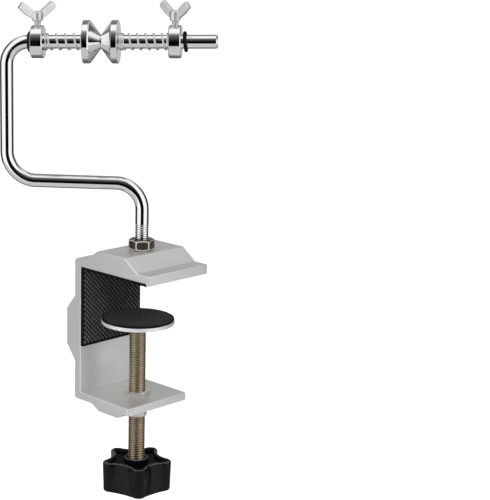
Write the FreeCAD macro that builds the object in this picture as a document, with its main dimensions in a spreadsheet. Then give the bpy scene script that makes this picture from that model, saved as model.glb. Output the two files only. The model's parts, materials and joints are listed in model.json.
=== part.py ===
import FreeCAD, Part
import math
import os
import Sketcher
from FreeCAD import Vector

# Fishing line winder with a table clamp. All sizes are in millimetres, all angles in degrees.
#
# Row frame: the origin is on the clamp screw's axis, on the face of the rubber pad under the top arm,
# which is where the edge of a table top bears. +X points out of the clamp's mouth, +Y runs along the
# extruded clamp and +Z is up, along the clamp screw.
#
# The rod's plane stands on the clamp at an angle, the heading. Everything on the spindle is drawn in
# the spindle's own frame: its X axis is the spindle's axis, pointing at the free end, and its origin
# is the station where the two cones meet.

LOBES = 5

DRIVING = [
    # Clamp
    ("clamp_width", 48.0, "length of the clamp along its extrusion"),
    ("spine_thickness", 5.2, "wall of the spine"),
    ("top_arm_thickness", 4.6, "wall of the top arm"),
    ("lower_arm_thickness", 4.7, "wall of the lower arm"),
    ("lower_arm_reach", 18.2, "clamp screw axis to the lower arm's edge"),
    ("jaw_height", 76.0, "jaw pad face to the lower arm's upper face"),
    ("lip_reach", 33.8, "clamp screw axis to the front of the lip"),
    ("lip_thickness", 2.8, "wall of the lip in front of the jaw pad"),
    ("lip_drop", 1.1, "how far the lip hangs below the top arm"),
    ("rib_offset", 1.5, "clamp screw axis to the middle of the rib on the top arm"),
    ("rib_height", 7.3, "height of the ribs on the top arm and on the back"),
    ("rib_crest_width", 23.4, "flat top of the rib on the top arm"),
    ("rib_foot_width", 44.4, "width of that rib at its foot"),
    ("back_rib_crest_width", 22.2, "flat top of the rib on the back"),
    ("back_rib_foot_width", 40.8, "width of that rib at its foot"),
    ("back_rib_drop", 36.7, "jaw pad face down to the middle of the back rib"),
    ("boss_height", 3.4, "height of the boss under the lower arm"),
    ("boss_crest_width", 16.6, "flat face of that boss"),
    ("boss_foot_width", 28.6, "width of that boss at its foot"),
    ("outer_corner_radius", 1.6, "rounding of the spine's two outer corners"),
    ("inner_corner_radius", 0.9, "rounding of the spine's two inner corners"),
    ("crest_radius", 1.0, "rounding along the ribs' crests"),
    ("foot_radius", 0.8, "hollow rounding along the ribs' feet"),
    ("plan_corner_radius", 1.4, "rounding of the arms' front corners, seen from above"),
    # Rubber pads of the clamp
    ("pad_thickness", 2.2, "thickness of the two pads in the clamp"),
    ("pad_inset", 0.3, "margin of the pads inside the clamp's ends"),
    ("spine_pad_length", 49.2, "length of the pad on the spine"),
    # Clamp screw and its bush
    ("screw_diameter", 10.0, "major diameter of the clamp screw"),
    ("bush_head_flats", 14.0, "across flats of the bush's head"),
    ("bush_head_height", 2.6, "height of the bush's head"),
    ("bush_head_heading", -51.0, "heading of one flat of the bush's head"),
    ("bush_sleeve_diameter", 12.0, "outer diameter of the bush's sleeve"),
    ("bush_sleeve_length", 13.0, "length of the sleeve below the head"),
    ("hexagon_face_inset", 0.3, "how far a hexagon's round end face stays inside its flats"),
    ("hexagon_slope", 30.0, "slope of the turned corners of the hexagons"),
    ("jaw_gap", 28.0, "jaw pad face to the press pad's face, as set"),
    ("press_plate_diameter", 44.0, "diameter of the press plate"),
    ("press_plate_clearance", 0.5, "press plate's edge to the pad on the spine"),
    ("press_plate_thickness", 2.3, "thickness of the press plate"),
    ("press_pad_margin", 0.3, "margin of the rubber inside the press plate's edge"),
    ("press_pad_thickness", 1.2, "thickness of that rubber"),
    ("spigot_diameter", 7.0, "turned end of the screw that goes through the plate"),
    ("rivet_head_diameter", 9.0, "peened head that keeps the plate on the screw"),
    ("rivet_head_height", 0.6, "height of the peened head"),
    ("rivet_pocket_margin", 0.3, "room round the peened head in the plate"),
    ("screw_free_length", 84.7, "screw between the press plate and the knob's hub"),
    ("screw_grip", 13.5, "length of the screw inside the knob"),
    # Knob
    ("knob_diameter", 43.4, "diameter over the lobes"),
    ("knob_heading", -2.5, "heading of one hollow between the lobes"),
    ("knob_height", 18.8, "height of the lobed part"),
    ("knob_hub_diameter", 14.6, "diameter of the hub round the screw"),
    ("knob_hub_rise", 0.6, "how far the hub stands above the lobed part"),
    ("scallop_diameter", 16.0, "diameter of the hollows between the lobes"),
    ("scallop_station", 24.7, "knob axis to the centre of each hollow"),
    ("lobe_radius", 4.0, "rounding of the lobes' corners"),
    ("knob_edge_radius", 1.2, "rounding of the knob's two end edges"),
    ("insert_diameter", 12.5, "outer diameter of the threaded insert"),
    ("insert_length", 15.0, "length of the threaded insert"),
    # Rod
    ("rod_diameter", 8.0, "diameter of the bent rod"),
    ("arm_offset", 2.4, "clamp screw axis to the rod's foot, along X"),
    ("arm_heading", 40.0, "heading of the spindle about Z, from +X"),
    ("middle_height", 53.3, "height of the middle run"),
    ("arm_reach", 80.4, "distance between the rod's two upright runs"),
    ("spindle_height", 135.6, "height of the spindle where the cones meet"),
    ("spindle_rise", 1.2, "upward slope of the spindle towards its free end"),
    ("cone_station", 24.9, "rod's foot axis back to where the cones meet"),
    ("free_end_station", 67.2, "where the cones meet to the free end"),
    ("lower_bend_radius", 15.4, "centre-line radius above the clamp"),
    ("middle_bend_radius", 17.3, "centre-line radius of the outer lower bend"),
    ("upper_bend_radius", 13.4, "centre-line radius of the bend into the spindle"),
    ("foot_clearance", 0.5, "rod's foot above the jaw pad's upper face"),
    ("rod_end_chamfer", 0.8, "chamfer of the rod's two ends"),
    ("nut_flats", 13.5, "across flats of the lock nut"),
    ("nut_height", 6.4, "height of the lock nut"),
    ("nut_heading", -40.0, "heading of one flat of the lock nut"),
    # Spindle sets
    ("cone_gap", 0.3, "gap between the two cones' tips"),
    ("cone_length", 10.1, "length of one cone, rim included"),
    ("cone_rim_width", 3.7, "width of the cone's cylindrical rim"),
    ("cone_diameter", 25.0, "diameter of the rim"),
    ("cone_tip_diameter", 8.7, "diameter of the tip"),
    ("cone_edge_radius", 0.7, "rounding of the rim's edges"),
    ("left_spring_length", 23.0, "left-hand cone to left-hand collar"),
    ("right_spring_length", 28.9, "right-hand cone to right-hand collar"),
    ("spring_diameter", 10.1, "outer diameter of the springs"),
    ("spring_wire", 0.95, "diameter of the springs' wire"),
    ("spring_seat_gap", 0.1, "gap between a spring and each of its seats"),
    ("left_spring_turns", 6.8, "coils of the left-hand spring"),
    ("right_spring_turns", 8.3, "coils of the right-hand spring"),
    ("collar_diameter", 19.0, "diameter of the stop collars"),
    ("collar_width", 7.3, "width of the stop collars"),
    ("collar_chamfer", 0.5, "chamfer of the collars' edges"),
    ("ring_section", 2.0, "section diameter of the rubber stop rings"),
    ("left_ring_gap", 0.1, "left-hand collar to its stop ring"),
    ("right_ring_gap", 1.2, "right-hand collar to its stop ring"),
    # Wing screws
    ("stud_diameter", 4.0, "major diameter of the wing screws' studs"),
    ("stud_length", 12.0, "length of a stud"),
    ("stud_tip_gap", 0.1, "gap between a stud's tip and the rod"),
    ("wing_stand_off", 2.2, "collar to the wing's boss"),
    ("boss_toe_diameter", 5.0, "lower end of the wing's boss"),
    ("wing_boss_diameter", 6.4, "diameter of the wing's boss"),
    ("boss_toe_height", 1.4, "height of the boss's tapered toe"),
    ("wing_boss_length", 6.0, "height of the whole boss"),
    ("wing_heel_rise", 0.2, "boss's lower end up to the wings' lower corners"),
    ("wing_angle", 52.0, "lean of each wing from the screw's axis"),
    ("wing_length", 13.2, "length of each wing from the screw's axis"),
    ("wing_width", 4.4, "width of each wing"),
    ("wing_thickness", 2.6, "thickness of each wing"),
    ("wing_tip_radius", 0.9, "rounding of the wings' tips"),
    ("left_wing_heading", 37.0, "turn of the left-hand wings from the spindle"),
    ("right_wing_heading", -46.0, "turn of the right-hand wings from the spindle"),
    # Fits
    ("running_clearance", 0.05, "radial clearance of every shaft and thread"),
    ("seat_gap", 0.1, "gap where a turning face bears on a still one"),
]

DERIVED = [
    # Clamp profile, as coordinates in its X-Z plane
    ("throat_depth", "=press_plate_diameter / 2 + press_plate_clearance + pad_thickness"),
    ("spine_face", "=-throat_depth"),
    ("spine_back", "=-(throat_depth + spine_thickness)"),
    ("lip_back", "=lip_reach - lip_thickness"),
    ("lip_bottom", "=pad_thickness - lip_drop"),
    ("plate_top", "=pad_thickness + top_arm_thickness"),
    ("crest_top", "=plate_top + rib_height"),
    ("rib_foot_front", "=rib_offset + rib_foot_width / 2"),
    ("rib_foot_back", "=rib_offset - rib_foot_width / 2"),
    ("rib_crest_front", "=rib_offset + rib_crest_width / 2"),
    ("rib_crest_back", "=rib_offset - rib_crest_width / 2"),
    ("back_crest", "=spine_back - rib_height"),
    ("back_foot_high", "=back_rib_foot_width / 2 - back_rib_drop"),
    ("back_foot_low", "=-back_rib_foot_width / 2 - back_rib_drop"),
    ("back_crest_high", "=back_rib_crest_width / 2 - back_rib_drop"),
    ("back_crest_low", "=-back_rib_crest_width / 2 - back_rib_drop"),
    ("lower_face", "=-jaw_height"),
    ("base_bottom", "=-(jaw_height + lower_arm_thickness)"),
    ("boss_bottom", "=base_bottom - boss_height"),
    ("boss_foot_half", "=boss_foot_width / 2"),
    ("boss_crest_half", "=boss_crest_width / 2"),
    ("top_hole_depth", "=top_arm_thickness + rib_height"),
    ("lower_hole_depth", "=lower_arm_thickness + boss_height"),
    # Pads
    ("pad_width", "=clamp_width - 2 * pad_inset"),
    ("spine_pad_face", "=spine_face + pad_thickness"),
    ("spine_pad_bottom", "=pad_thickness - spine_pad_length"),
    ("datum", "=0"),
    # Press plate, screw, bush and knob, as radii and heights
    ("press_face", "=-jaw_gap"),
    ("plate_upper", "=press_face - press_pad_thickness"),
    ("plate_lower", "=plate_upper - press_plate_thickness"),
    ("plate_radius", "=press_plate_diameter / 2"),
    ("press_pad_diameter", "=press_plate_diameter - 2 * press_pad_margin"),
    ("pocket_floor", "=plate_upper - rivet_head_height - seat_gap"),
    ("pocket_radius", "=rivet_head_diameter / 2 + rivet_pocket_margin"),
    ("spigot_radius", "=spigot_diameter / 2"),
    ("spigot_bore_radius", "=spigot_radius + running_clearance"),
    ("rivet_head_radius", "=rivet_head_diameter / 2"),
    ("rivet_underside", "=pocket_floor + seat_gap / 2"),
    ("rivet_top", "=rivet_underside + rivet_head_height"),
    ("screw_shoulder", "=plate_lower - seat_gap"),
    ("screw_radius", "=screw_diameter / 2"),
    ("screw_bore_radius", "=screw_radius + running_clearance"),
    ("hub_top", "=screw_shoulder - screw_free_length"),
    ("screw_end", "=hub_top - screw_grip"),
    ("bush_head_top", "=lower_face + bush_head_height"),
    ("bush_hole_diameter", "=bush_sleeve_diameter + 2 * running_clearance"),
    ("bush_bore_diameter", "=2 * screw_bore_radius"),
    ("bush_length", "=bush_head_height + bush_sleeve_length"),
    ("knob_top", "=hub_top - knob_hub_rise"),
    ("knob_bottom", "=knob_top - knob_height"),
    ("hub_depth", "=2 * knob_hub_rise"),
    ("insert_radius", "=insert_diameter / 2"),
    ("insert_bore_radius", "=insert_radius + running_clearance"),
    ("insert_top", "=knob_top - seat_gap"),
    ("insert_bottom", "=insert_top - insert_length"),
    ("cavity_bottom", "=insert_bottom - seat_gap"),
    # Cuts that turn off the hexagons' corners; they end outside the corners
    ("bush_face_radius", "=bush_head_flats / 2 - hexagon_face_inset"),
    ("bush_cut_radius", "=bush_head_flats * 0.6"),
    ("bush_cut_depth", "=(bush_cut_radius - bush_face_radius) * tan(hexagon_slope * 1deg)"),
    ("bush_cut_foot", "=bush_head_top - bush_cut_depth"),
    ("nut_face_radius", "=nut_flats / 2 - hexagon_face_inset"),
    ("nut_cut_radius", "=nut_flats * 0.6"),
    ("nut_cut_depth", "=(nut_cut_radius - nut_face_radius) * tan(hexagon_slope * 1deg)"),
    ("nut_cut_foot", "=crest_top + nut_height - nut_cut_depth"),
    ("nut_cut_head", "=crest_top + nut_cut_depth"),
    # Rod and nut
    ("rod_radius", "=rod_diameter / 2"),
    ("bore_radius", "=rod_radius + running_clearance"),
    ("bore_diameter", "=2 * bore_radius"),
    ("rod_foot", "=pad_thickness + foot_clearance"),
    ("nut_top", "=crest_top + nut_height"),
    ("spindle_corner_height", "=spindle_height - (arm_reach - cone_station) * tan(spindle_rise * 1deg)"),
    ("free_end_reach", "=free_end_station * cos(spindle_rise * 1deg) - cone_station"),
    ("free_end_height", "=spindle_height + free_end_station * sin(spindle_rise * 1deg)"),
    ("upright_turn", "=90 - spindle_rise"),
    ("spindle_x", "=arm_offset - cone_station * cos(arm_heading * 1deg)"),
    ("spindle_y", "=-cone_station * sin(arm_heading * 1deg)"),
    # Stations along the spindle
    ("right_tip", "=cone_gap / 2"),
    ("right_rim", "=right_tip + cone_length - cone_rim_width"),
    ("right_back", "=right_tip + cone_length"),
    ("left_tip", "=-right_tip"),
    ("left_rim", "=-right_rim"),
    ("left_back", "=-right_back"),
    ("cone_radius", "=cone_diameter / 2"),
    ("tip_radius", "=cone_tip_diameter / 2"),
    ("left_collar_inner", "=left_back - left_spring_length"),
    ("left_collar_outer", "=left_collar_inner - collar_width"),
    ("right_collar_inner", "=right_back + right_spring_length"),
    ("right_collar_outer", "=right_collar_inner + collar_width"),
    ("left_collar_middle", "=left_collar_inner - collar_width / 2"),
    ("right_collar_middle", "=right_collar_inner + collar_width / 2"),
    ("collar_radius", "=collar_diameter / 2"),
    ("ring_centre_radius", "=bore_radius + ring_section / 2"),
    ("left_ring_station", "=left_collar_outer - left_ring_gap - ring_section / 2"),
    ("right_ring_station", "=right_collar_outer + right_ring_gap + ring_section / 2"),
    ("spring_radius", "=(spring_diameter - spring_wire) / 2"),
    ("spring_inset", "=spring_seat_gap + spring_wire / 2"),
    ("left_spring_start", "=left_collar_inner + spring_inset"),
    ("left_spring_height", "=left_spring_length - 2 * spring_inset"),
    ("right_spring_start", "=right_back + spring_inset"),
    ("right_spring_height", "=right_spring_length - 2 * spring_inset"),
    # Wing screws, as heights above the spindle's axis
    ("stud_hole_diameter", "=stud_diameter + 2 * running_clearance"),
    ("stud_tip", "=rod_radius + stud_tip_gap"),
    ("stud_top", "=stud_tip + stud_length"),
    ("stud_bore_top", "=stud_top + seat_gap"),
    ("wing_foot", "=collar_radius + wing_stand_off"),
    ("wing_shoulder", "=wing_foot + boss_toe_height"),
    ("wing_boss_top", "=wing_foot + wing_boss_length"),
    ("boss_toe_radius", "=boss_toe_diameter / 2"),
    ("wing_boss_radius", "=wing_boss_diameter / 2"),
    ("wing_bore_depth", "=stud_bore_top - wing_foot"),
    ("wing_half_width", "=wing_width / 2"),
    ("wing_root", "=wing_foot + wing_heel_rise + wing_half_width * sin(wing_angle * 1deg)"),
]

doc = FreeCAD.newDocument("line_winder")
sheet = doc.addObject("Spreadsheet::Sheet", "Sizes")
for row, (alias, value, note) in enumerate(DRIVING, 1):
    sheet.set(f"A{row}", alias)
    sheet.set(f"B{row}", str(value))
    sheet.set(f"C{row}", note)
    sheet.setAlias(f"B{row}", alias)
for row, (alias, formula) in enumerate(DERIVED, len(DRIVING) + 2):
    sheet.set(f"A{row}", alias)
    sheet.set(f"B{row}", formula)
    sheet.setAlias(f"B{row}", alias)
doc.recompute()


def size(alias):
    """Value of a cell; a leading minus sign turns its sign."""
    if alias.startswith("-"):
        return -float(sheet.get(alias[1:]))
    return float(sheet.get(alias))


def cell(alias):
    """The same cell as an expression."""
    if alias.startswith("-"):
        return "-Sizes." + alias[1:]
    return "Sizes." + alias


# Document helpers

ON_CLAMP = "placement(vector(0; 0; 0); rotation(0; 0; 0))"
ON_KNOB = "placement(vector(0; 0; 0); rotation(Sizes.knob_heading; 0; 0))"
ON_FOOT = "placement(vector(Sizes.arm_offset; 0; 0); rotation(0; 0; 0))"
ON_ARM = "placement(vector(Sizes.arm_offset; 0; 0); rotation(Sizes.arm_heading; 0; 0))"
ON_SPINDLE = (
    "placement(vector(Sizes.spindle_x; Sizes.spindle_y; Sizes.spindle_height);"
    " rotation(Sizes.arm_heading; -Sizes.spindle_rise; 0))"
)
ON_WING_SCREW = ON_SPINDLE + (
    " * placement(vector(Sizes.{side}_collar_middle; 0; 0);"
    " rotation(Sizes.{side}_wing_heading; 0; 0))"
)
bodies = []


def new_body(name, placement=ON_CLAMP):
    body = doc.addObject("PartDesign::Body", name)
    body.Label = name
    body.setExpression("Placement", placement)
    doc.recompute()
    bodies.append(body)
    return body


def origin_feature(body, role):
    return next(item for item in body.Origin.OriginFeatures if item.Role == role)


def new_sketch(body, name, role, height=None, turn=None):
    """Sketch on one of the body's own planes, raised along its normal and turned about it."""
    sketch = body.newObject("Sketcher::SketchObject", f"{body.Name}_{name}")
    sketch.AttachmentSupport = [(origin_feature(body, role), "")]
    sketch.MapMode = "FlatFace"
    if height:
        sketch.setExpression("AttachmentOffset.Base.z", cell(height))
    if turn:
        sketch.setExpression("AttachmentOffset.Rotation.Angle", f"{cell(turn)} * 1deg")
    return sketch


def constrain(sketch, kind, geometry, alias):
    index = sketch.addConstraint(Sketcher.Constraint(kind, *geometry, size(alias)))
    sketch.setExpression(f"Constraints[{index}]", cell(alias))


def draw_outline(sketch, points):
    """Closed outline of straight lines; each corner is a pair of cells."""
    corners = [Vector(size(across), size(up), 0) for across, up in points]
    count = len(corners)
    for index in range(count):
        sketch.addGeometry(Part.LineSegment(corners[index], corners[(index + 1) % count]))
    for index in range(count):
        sketch.addConstraint(Sketcher.Constraint("Coincident", index, 2, (index + 1) % count, 1))
    for index, (across, up) in enumerate(points):
        constrain(sketch, "DistanceX", (-1, 1, index, 1), across)
        constrain(sketch, "DistanceY", (-1, 1, index, 1), up)


def draw_circle(sketch, across, up, diameter):
    centre = Vector(size(across), size(up), 0)
    index = sketch.addGeometry(Part.Circle(centre, Vector(0, 0, 1), size(diameter) / 2))
    constrain(sketch, "DistanceX", (-1, 1, index, 3), across)
    constrain(sketch, "DistanceY", (-1, 1, index, 3), up)
    constrain(sketch, "Diameter", (index,), diameter)


def pad(body, name, sketch, length, both_sides=False, downward=False):
    feature = body.newObject("PartDesign::Pad", f"{body.Name}_{name}")
    feature.Profile = sketch
    feature.setExpression("Length", cell(length))
    feature.Reversed = downward
    if both_sides:
        feature.SideType = "Symmetric"
    doc.recompute()
    return feature


def require_less(feature, volume):
    if not feature.Shape.Volume < volume:
        raise RuntimeError(f"{feature.Name} cuts nothing")


def pocket(body, name, sketch, length):
    """Cut that goes down from its sketch."""
    before = body.Tip.Shape.Volume
    feature = body.newObject("PartDesign::Pocket", f"{body.Name}_{name}")
    feature.Profile = sketch
    feature.setExpression("Length", cell(length))
    doc.recompute()
    require_less(feature, before)
    return feature


def drill(body, name, across, diameter, top, depth):
    """Round hole that goes down along Z from the height top."""
    circle = new_sketch(body, f"{name}_circle", "XY_Plane", height=top)
    draw_circle(circle, across, "datum", diameter)
    return pocket(body, name, circle, depth)


def turning(body, name, points, axis, kind="PartDesign::Revolution"):
    """Ring drawn as a half section in the X-Z plane and turned about the body's X or Z axis."""
    section = new_sketch(body, f"{name}_section", "XZ_Plane")
    draw_outline(section, points)
    return revolve(body, name, section, axis, kind)


def revolve(body, name, section, axis, kind="PartDesign::Revolution"):
    feature = body.newObject(kind, f"{body.Name}_{name}")
    feature.Profile = section
    feature.ReferenceAxis = (section, [{"X": "H_Axis", "Z": "V_Axis"}[axis]])
    feature.Angle = 360
    doc.recompute()
    return feature


def groove(body, name, points, axis):
    before = body.Tip.Shape.Volume
    feature = turning(body, name, points, axis, kind="PartDesign::Groove")
    require_less(feature, before)
    return feature


def edges_where(shape, test):
    return [f"Edge{index}" for index, edge in enumerate(shape.Edges, 1) if test(edge)]


def dress(body, kind, name, radius, test):
    """Fillet or chamfer on those edges of the body's tip that pass the test."""
    tip = body.Tip
    names = edges_where(tip.Shape, test)
    if not names:
        raise RuntimeError(f"{body.Name} has no edge for {name}")
    feature = body.newObject(f"PartDesign::{kind}", f"{body.Name}_{name}")
    feature.Base = (tip, names)
    feature.setExpression({"Fillet": "Radius", "Chamfer": "Size"}[kind], cell(radius))
    doc.recompute()
    return feature


def near(first, second, tolerance=1e-4):
    return abs(first - second) < tolerance


def ends_of(edge):
    return edge.Vertexes[0].Point, edge.Vertexes[-1].Point


def lies_along(edge, axis):
    """True for a straight edge along that axis (0 for X, 1 for Y, 2 for Z)."""
    start, end = ends_of(edge)
    others = [index for index in range(3) if index != axis]
    same = all(near(start[index], end[index]) for index in others)
    return same and not near(start[axis], end[axis])


def lies_level(edge, height):
    """True for an edge that lies wholly at that height."""
    return near(edge.BoundBox.ZMin, height) and near(edge.BoundBox.ZMax, height)


def is_circle(edge):
    return isinstance(edge.Curve, Part.Circle)


def round_edge(edge, radius):
    return is_circle(edge) and near(edge.Curve.Radius, radius)


# Clamp


def profile_edges(points):
    """Test for the edges along Y that pass through these corners of the clamp's profile."""
    places = [(size(across), size(up)) for across, up in points]

    def passes(edge):
        start = edge.Vertexes[0].Point
        return lies_along(edge, 1) and any(near(start.x, x) and near(start.z, z) for x, z in places)

    return passes


def make_clamp_frame():
    body = new_body("clamp_frame")
    profile = new_sketch(body, "profile", "XZ_Plane")
    draw_outline(profile, [
        ("spine_face", "pad_thickness"),
        ("lip_back", "pad_thickness"),
        ("lip_back", "lip_bottom"),
        ("lip_reach", "lip_bottom"),
        ("lip_reach", "plate_top"),
        ("rib_foot_front", "plate_top"),
        ("rib_crest_front", "crest_top"),
        ("rib_crest_back", "crest_top"),
        ("rib_foot_back", "plate_top"),
        ("spine_back", "plate_top"),
        ("spine_back", "back_foot_high"),
        ("back_crest", "back_crest_high"),
        ("back_crest", "back_crest_low"),
        ("spine_back", "back_foot_low"),
        ("spine_back", "base_bottom"),
        ("-boss_foot_half", "base_bottom"),
        ("-boss_crest_half", "boss_bottom"),
        ("boss_crest_half", "boss_bottom"),
        ("boss_foot_half", "base_bottom"),
        ("lower_arm_reach", "base_bottom"),
        ("lower_arm_reach", "lower_face"),
        ("spine_face", "lower_face"),
    ])
    pad(body, "extrusion", profile, "clamp_width", both_sides=True)
    outer = [("spine_back", "plate_top"), ("spine_back", "base_bottom")]
    inner = [("spine_face", "pad_thickness"), ("spine_face", "lower_face")]
    crests = [
        ("rib_crest_front", "crest_top"),
        ("rib_crest_back", "crest_top"),
        ("back_crest", "back_crest_high"),
        ("back_crest", "back_crest_low"),
        ("-boss_crest_half", "boss_bottom"),
        ("boss_crest_half", "boss_bottom"),
    ]
    feet = [
        ("rib_foot_front", "plate_top"),
        ("rib_foot_back", "plate_top"),
        ("spine_back", "back_foot_high"),
        ("spine_back", "back_foot_low"),
    ]
    dress(body, "Fillet", "outer_corners", "outer_corner_radius", profile_edges(outer))
    dress(body, "Fillet", "inner_corners", "inner_corner_radius", profile_edges(inner))
    dress(body, "Fillet", "crests", "crest_radius", profile_edges(crests))
    dress(body, "Fillet", "feet", "foot_radius", profile_edges(feet))
    fronts = [size("lip_reach"), size("lower_arm_reach")]
    dress(
        body, "Fillet", "plan_corners", "plan_corner_radius",
        lambda edge: lies_along(edge, 2) and any(near(ends_of(edge)[0].x, x) for x in fronts),
    )
    drill(body, "rod_hole", "arm_offset", "bore_diameter", "crest_top", "top_hole_depth")
    drill(body, "bush_hole", "datum", "bush_hole_diameter", "lower_face", "lower_hole_depth")


def make_pad(name, points):
    body = new_body(name)
    section = new_sketch(body, "section", "XZ_Plane")
    draw_outline(section, points)
    pad(body, "sheet", section, "pad_width", both_sides=True)
    return body


def make_clamp_pads():
    spine_pad = make_pad("spine_pad", [
        ("spine_face", "spine_pad_bottom"),
        ("spine_pad_face", "spine_pad_bottom"),
        ("spine_pad_face", "pad_thickness"),
        ("spine_face", "pad_thickness"),
    ])
    corner = [("spine_face", "pad_thickness")]
    dress(spine_pad, "Chamfer", "relief", "inner_corner_radius", profile_edges(corner))
    make_pad("jaw_pad", [
        ("spine_pad_face", "datum"),
        ("lip_back", "datum"),
        ("lip_back", "pad_thickness"),
        ("spine_pad_face", "pad_thickness"),
    ])


# Clamp screw, its bush, its press plate and its knob


def hexagon(body, flats, height, foot, turn):
    """Hexagonal prism on the Z axis; turn names the heading of one of its flats."""
    prism = body.newObject("PartDesign::AdditivePrism", f"{body.Name}_hexagon")
    prism.AttachmentSupport = [(origin_feature(body, "XY_Plane"), "")]
    prism.MapMode = "FlatFace"
    prism.Polygon = 6
    prism.setExpression("Circumradius", f"{cell(flats)} / 2 / cos(30deg)")
    prism.setExpression("Height", cell(height))
    prism.setExpression("AttachmentOffset.Base.z", cell(foot))
    prism.setExpression("AttachmentOffset.Rotation.Angle", f"({cell(turn)} + 30) * 1deg")
    doc.recompute()


def make_threaded_bush():
    body = new_body("threaded_bush")
    hexagon(body, "bush_head_flats", "bush_head_height", "lower_face", "bush_head_heading")
    groove(body, "head_corners", [
        ("bush_face_radius", "bush_head_top"),
        ("bush_cut_radius", "bush_cut_foot"),
        ("bush_cut_radius", "bush_head_top"),
    ], "Z")
    sleeve = new_sketch(body, "sleeve_circle", "XY_Plane", height="lower_face")
    draw_circle(sleeve, "datum", "datum", "bush_sleeve_diameter")
    pad(body, "sleeve", sleeve, "bush_sleeve_length", downward=True)
    drill(body, "thread", "datum", "bush_bore_diameter", "bush_head_top", "bush_length")


def make_press_foot():
    plate = new_body("press_plate")
    turning(plate, "disc", [
        ("spigot_bore_radius", "plate_lower"),
        ("plate_radius", "plate_lower"),
        ("plate_radius", "plate_upper"),
        ("pocket_radius", "plate_upper"),
        ("pocket_radius", "pocket_floor"),
        ("spigot_bore_radius", "pocket_floor"),
    ], "Z")
    rubber = new_body("press_pad")
    circle = new_sketch(rubber, "circle", "XY_Plane", height="plate_upper")
    draw_circle(circle, "datum", "datum", "press_pad_diameter")
    pad(rubber, "sheet", circle, "press_pad_thickness")


def make_clamp_screw():
    screw = new_body("clamp_screw")
    turning(screw, "shank", [
        ("datum", "screw_end"),
        ("screw_radius", "screw_end"),
        ("screw_radius", "screw_shoulder"),
        ("spigot_radius", "screw_shoulder"),
        ("spigot_radius", "rivet_underside"),
        ("rivet_head_radius", "rivet_underside"),
        ("rivet_head_radius", "rivet_top"),
        ("datum", "rivet_top"),
    ], "Z")
    insert = new_body("knob_insert")
    turning(insert, "tube", [
        ("screw_bore_radius", "insert_bottom"),
        ("insert_radius", "insert_bottom"),
        ("insert_radius", "insert_top"),
        ("screw_bore_radius", "insert_top"),
    ], "Z")


def make_knob():
    body = new_body("knob", ON_KNOB)
    disc = new_sketch(body, "disc_circle", "XY_Plane", height="knob_bottom")
    draw_circle(disc, "datum", "datum", "knob_diameter")
    pad(body, "disc", disc, "knob_height")
    hollow = drill(body, "hollow", "scallop_station", "scallop_diameter", "knob_top", "knob_height")
    pattern = body.newObject("PartDesign::PolarPattern", "knob_hollows")
    pattern.Originals = [hollow]
    pattern.Axis = (origin_feature(body, "Z_Axis"), [""])
    pattern.Angle = 360
    pattern.Occurrences = LOBES
    body.Tip = pattern
    doc.recompute()
    dress(body, "Fillet", "lobes", "lobe_radius", lambda edge: lies_along(edge, 2))
    ends = (size("knob_top"), size("knob_bottom"))
    dress(body, "Fillet", "rims", "knob_edge_radius", lambda edge: any(lies_level(edge, z) for z in ends))
    hub = new_sketch(body, "hub_circle", "XY_Plane", height="hub_top")
    draw_circle(hub, "datum", "datum", "knob_hub_diameter")
    pad(body, "hub", hub, "hub_depth", downward=True)
    groove(body, "cavity", [
        ("datum", "cavity_bottom"),
        ("insert_bore_radius", "cavity_bottom"),
        ("insert_bore_radius", "insert_top"),
        ("screw_bore_radius", "insert_top"),
        ("screw_bore_radius", "hub_top"),
        ("datum", "hub_top"),
    ], "Z")


# Rod and lock nut


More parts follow.
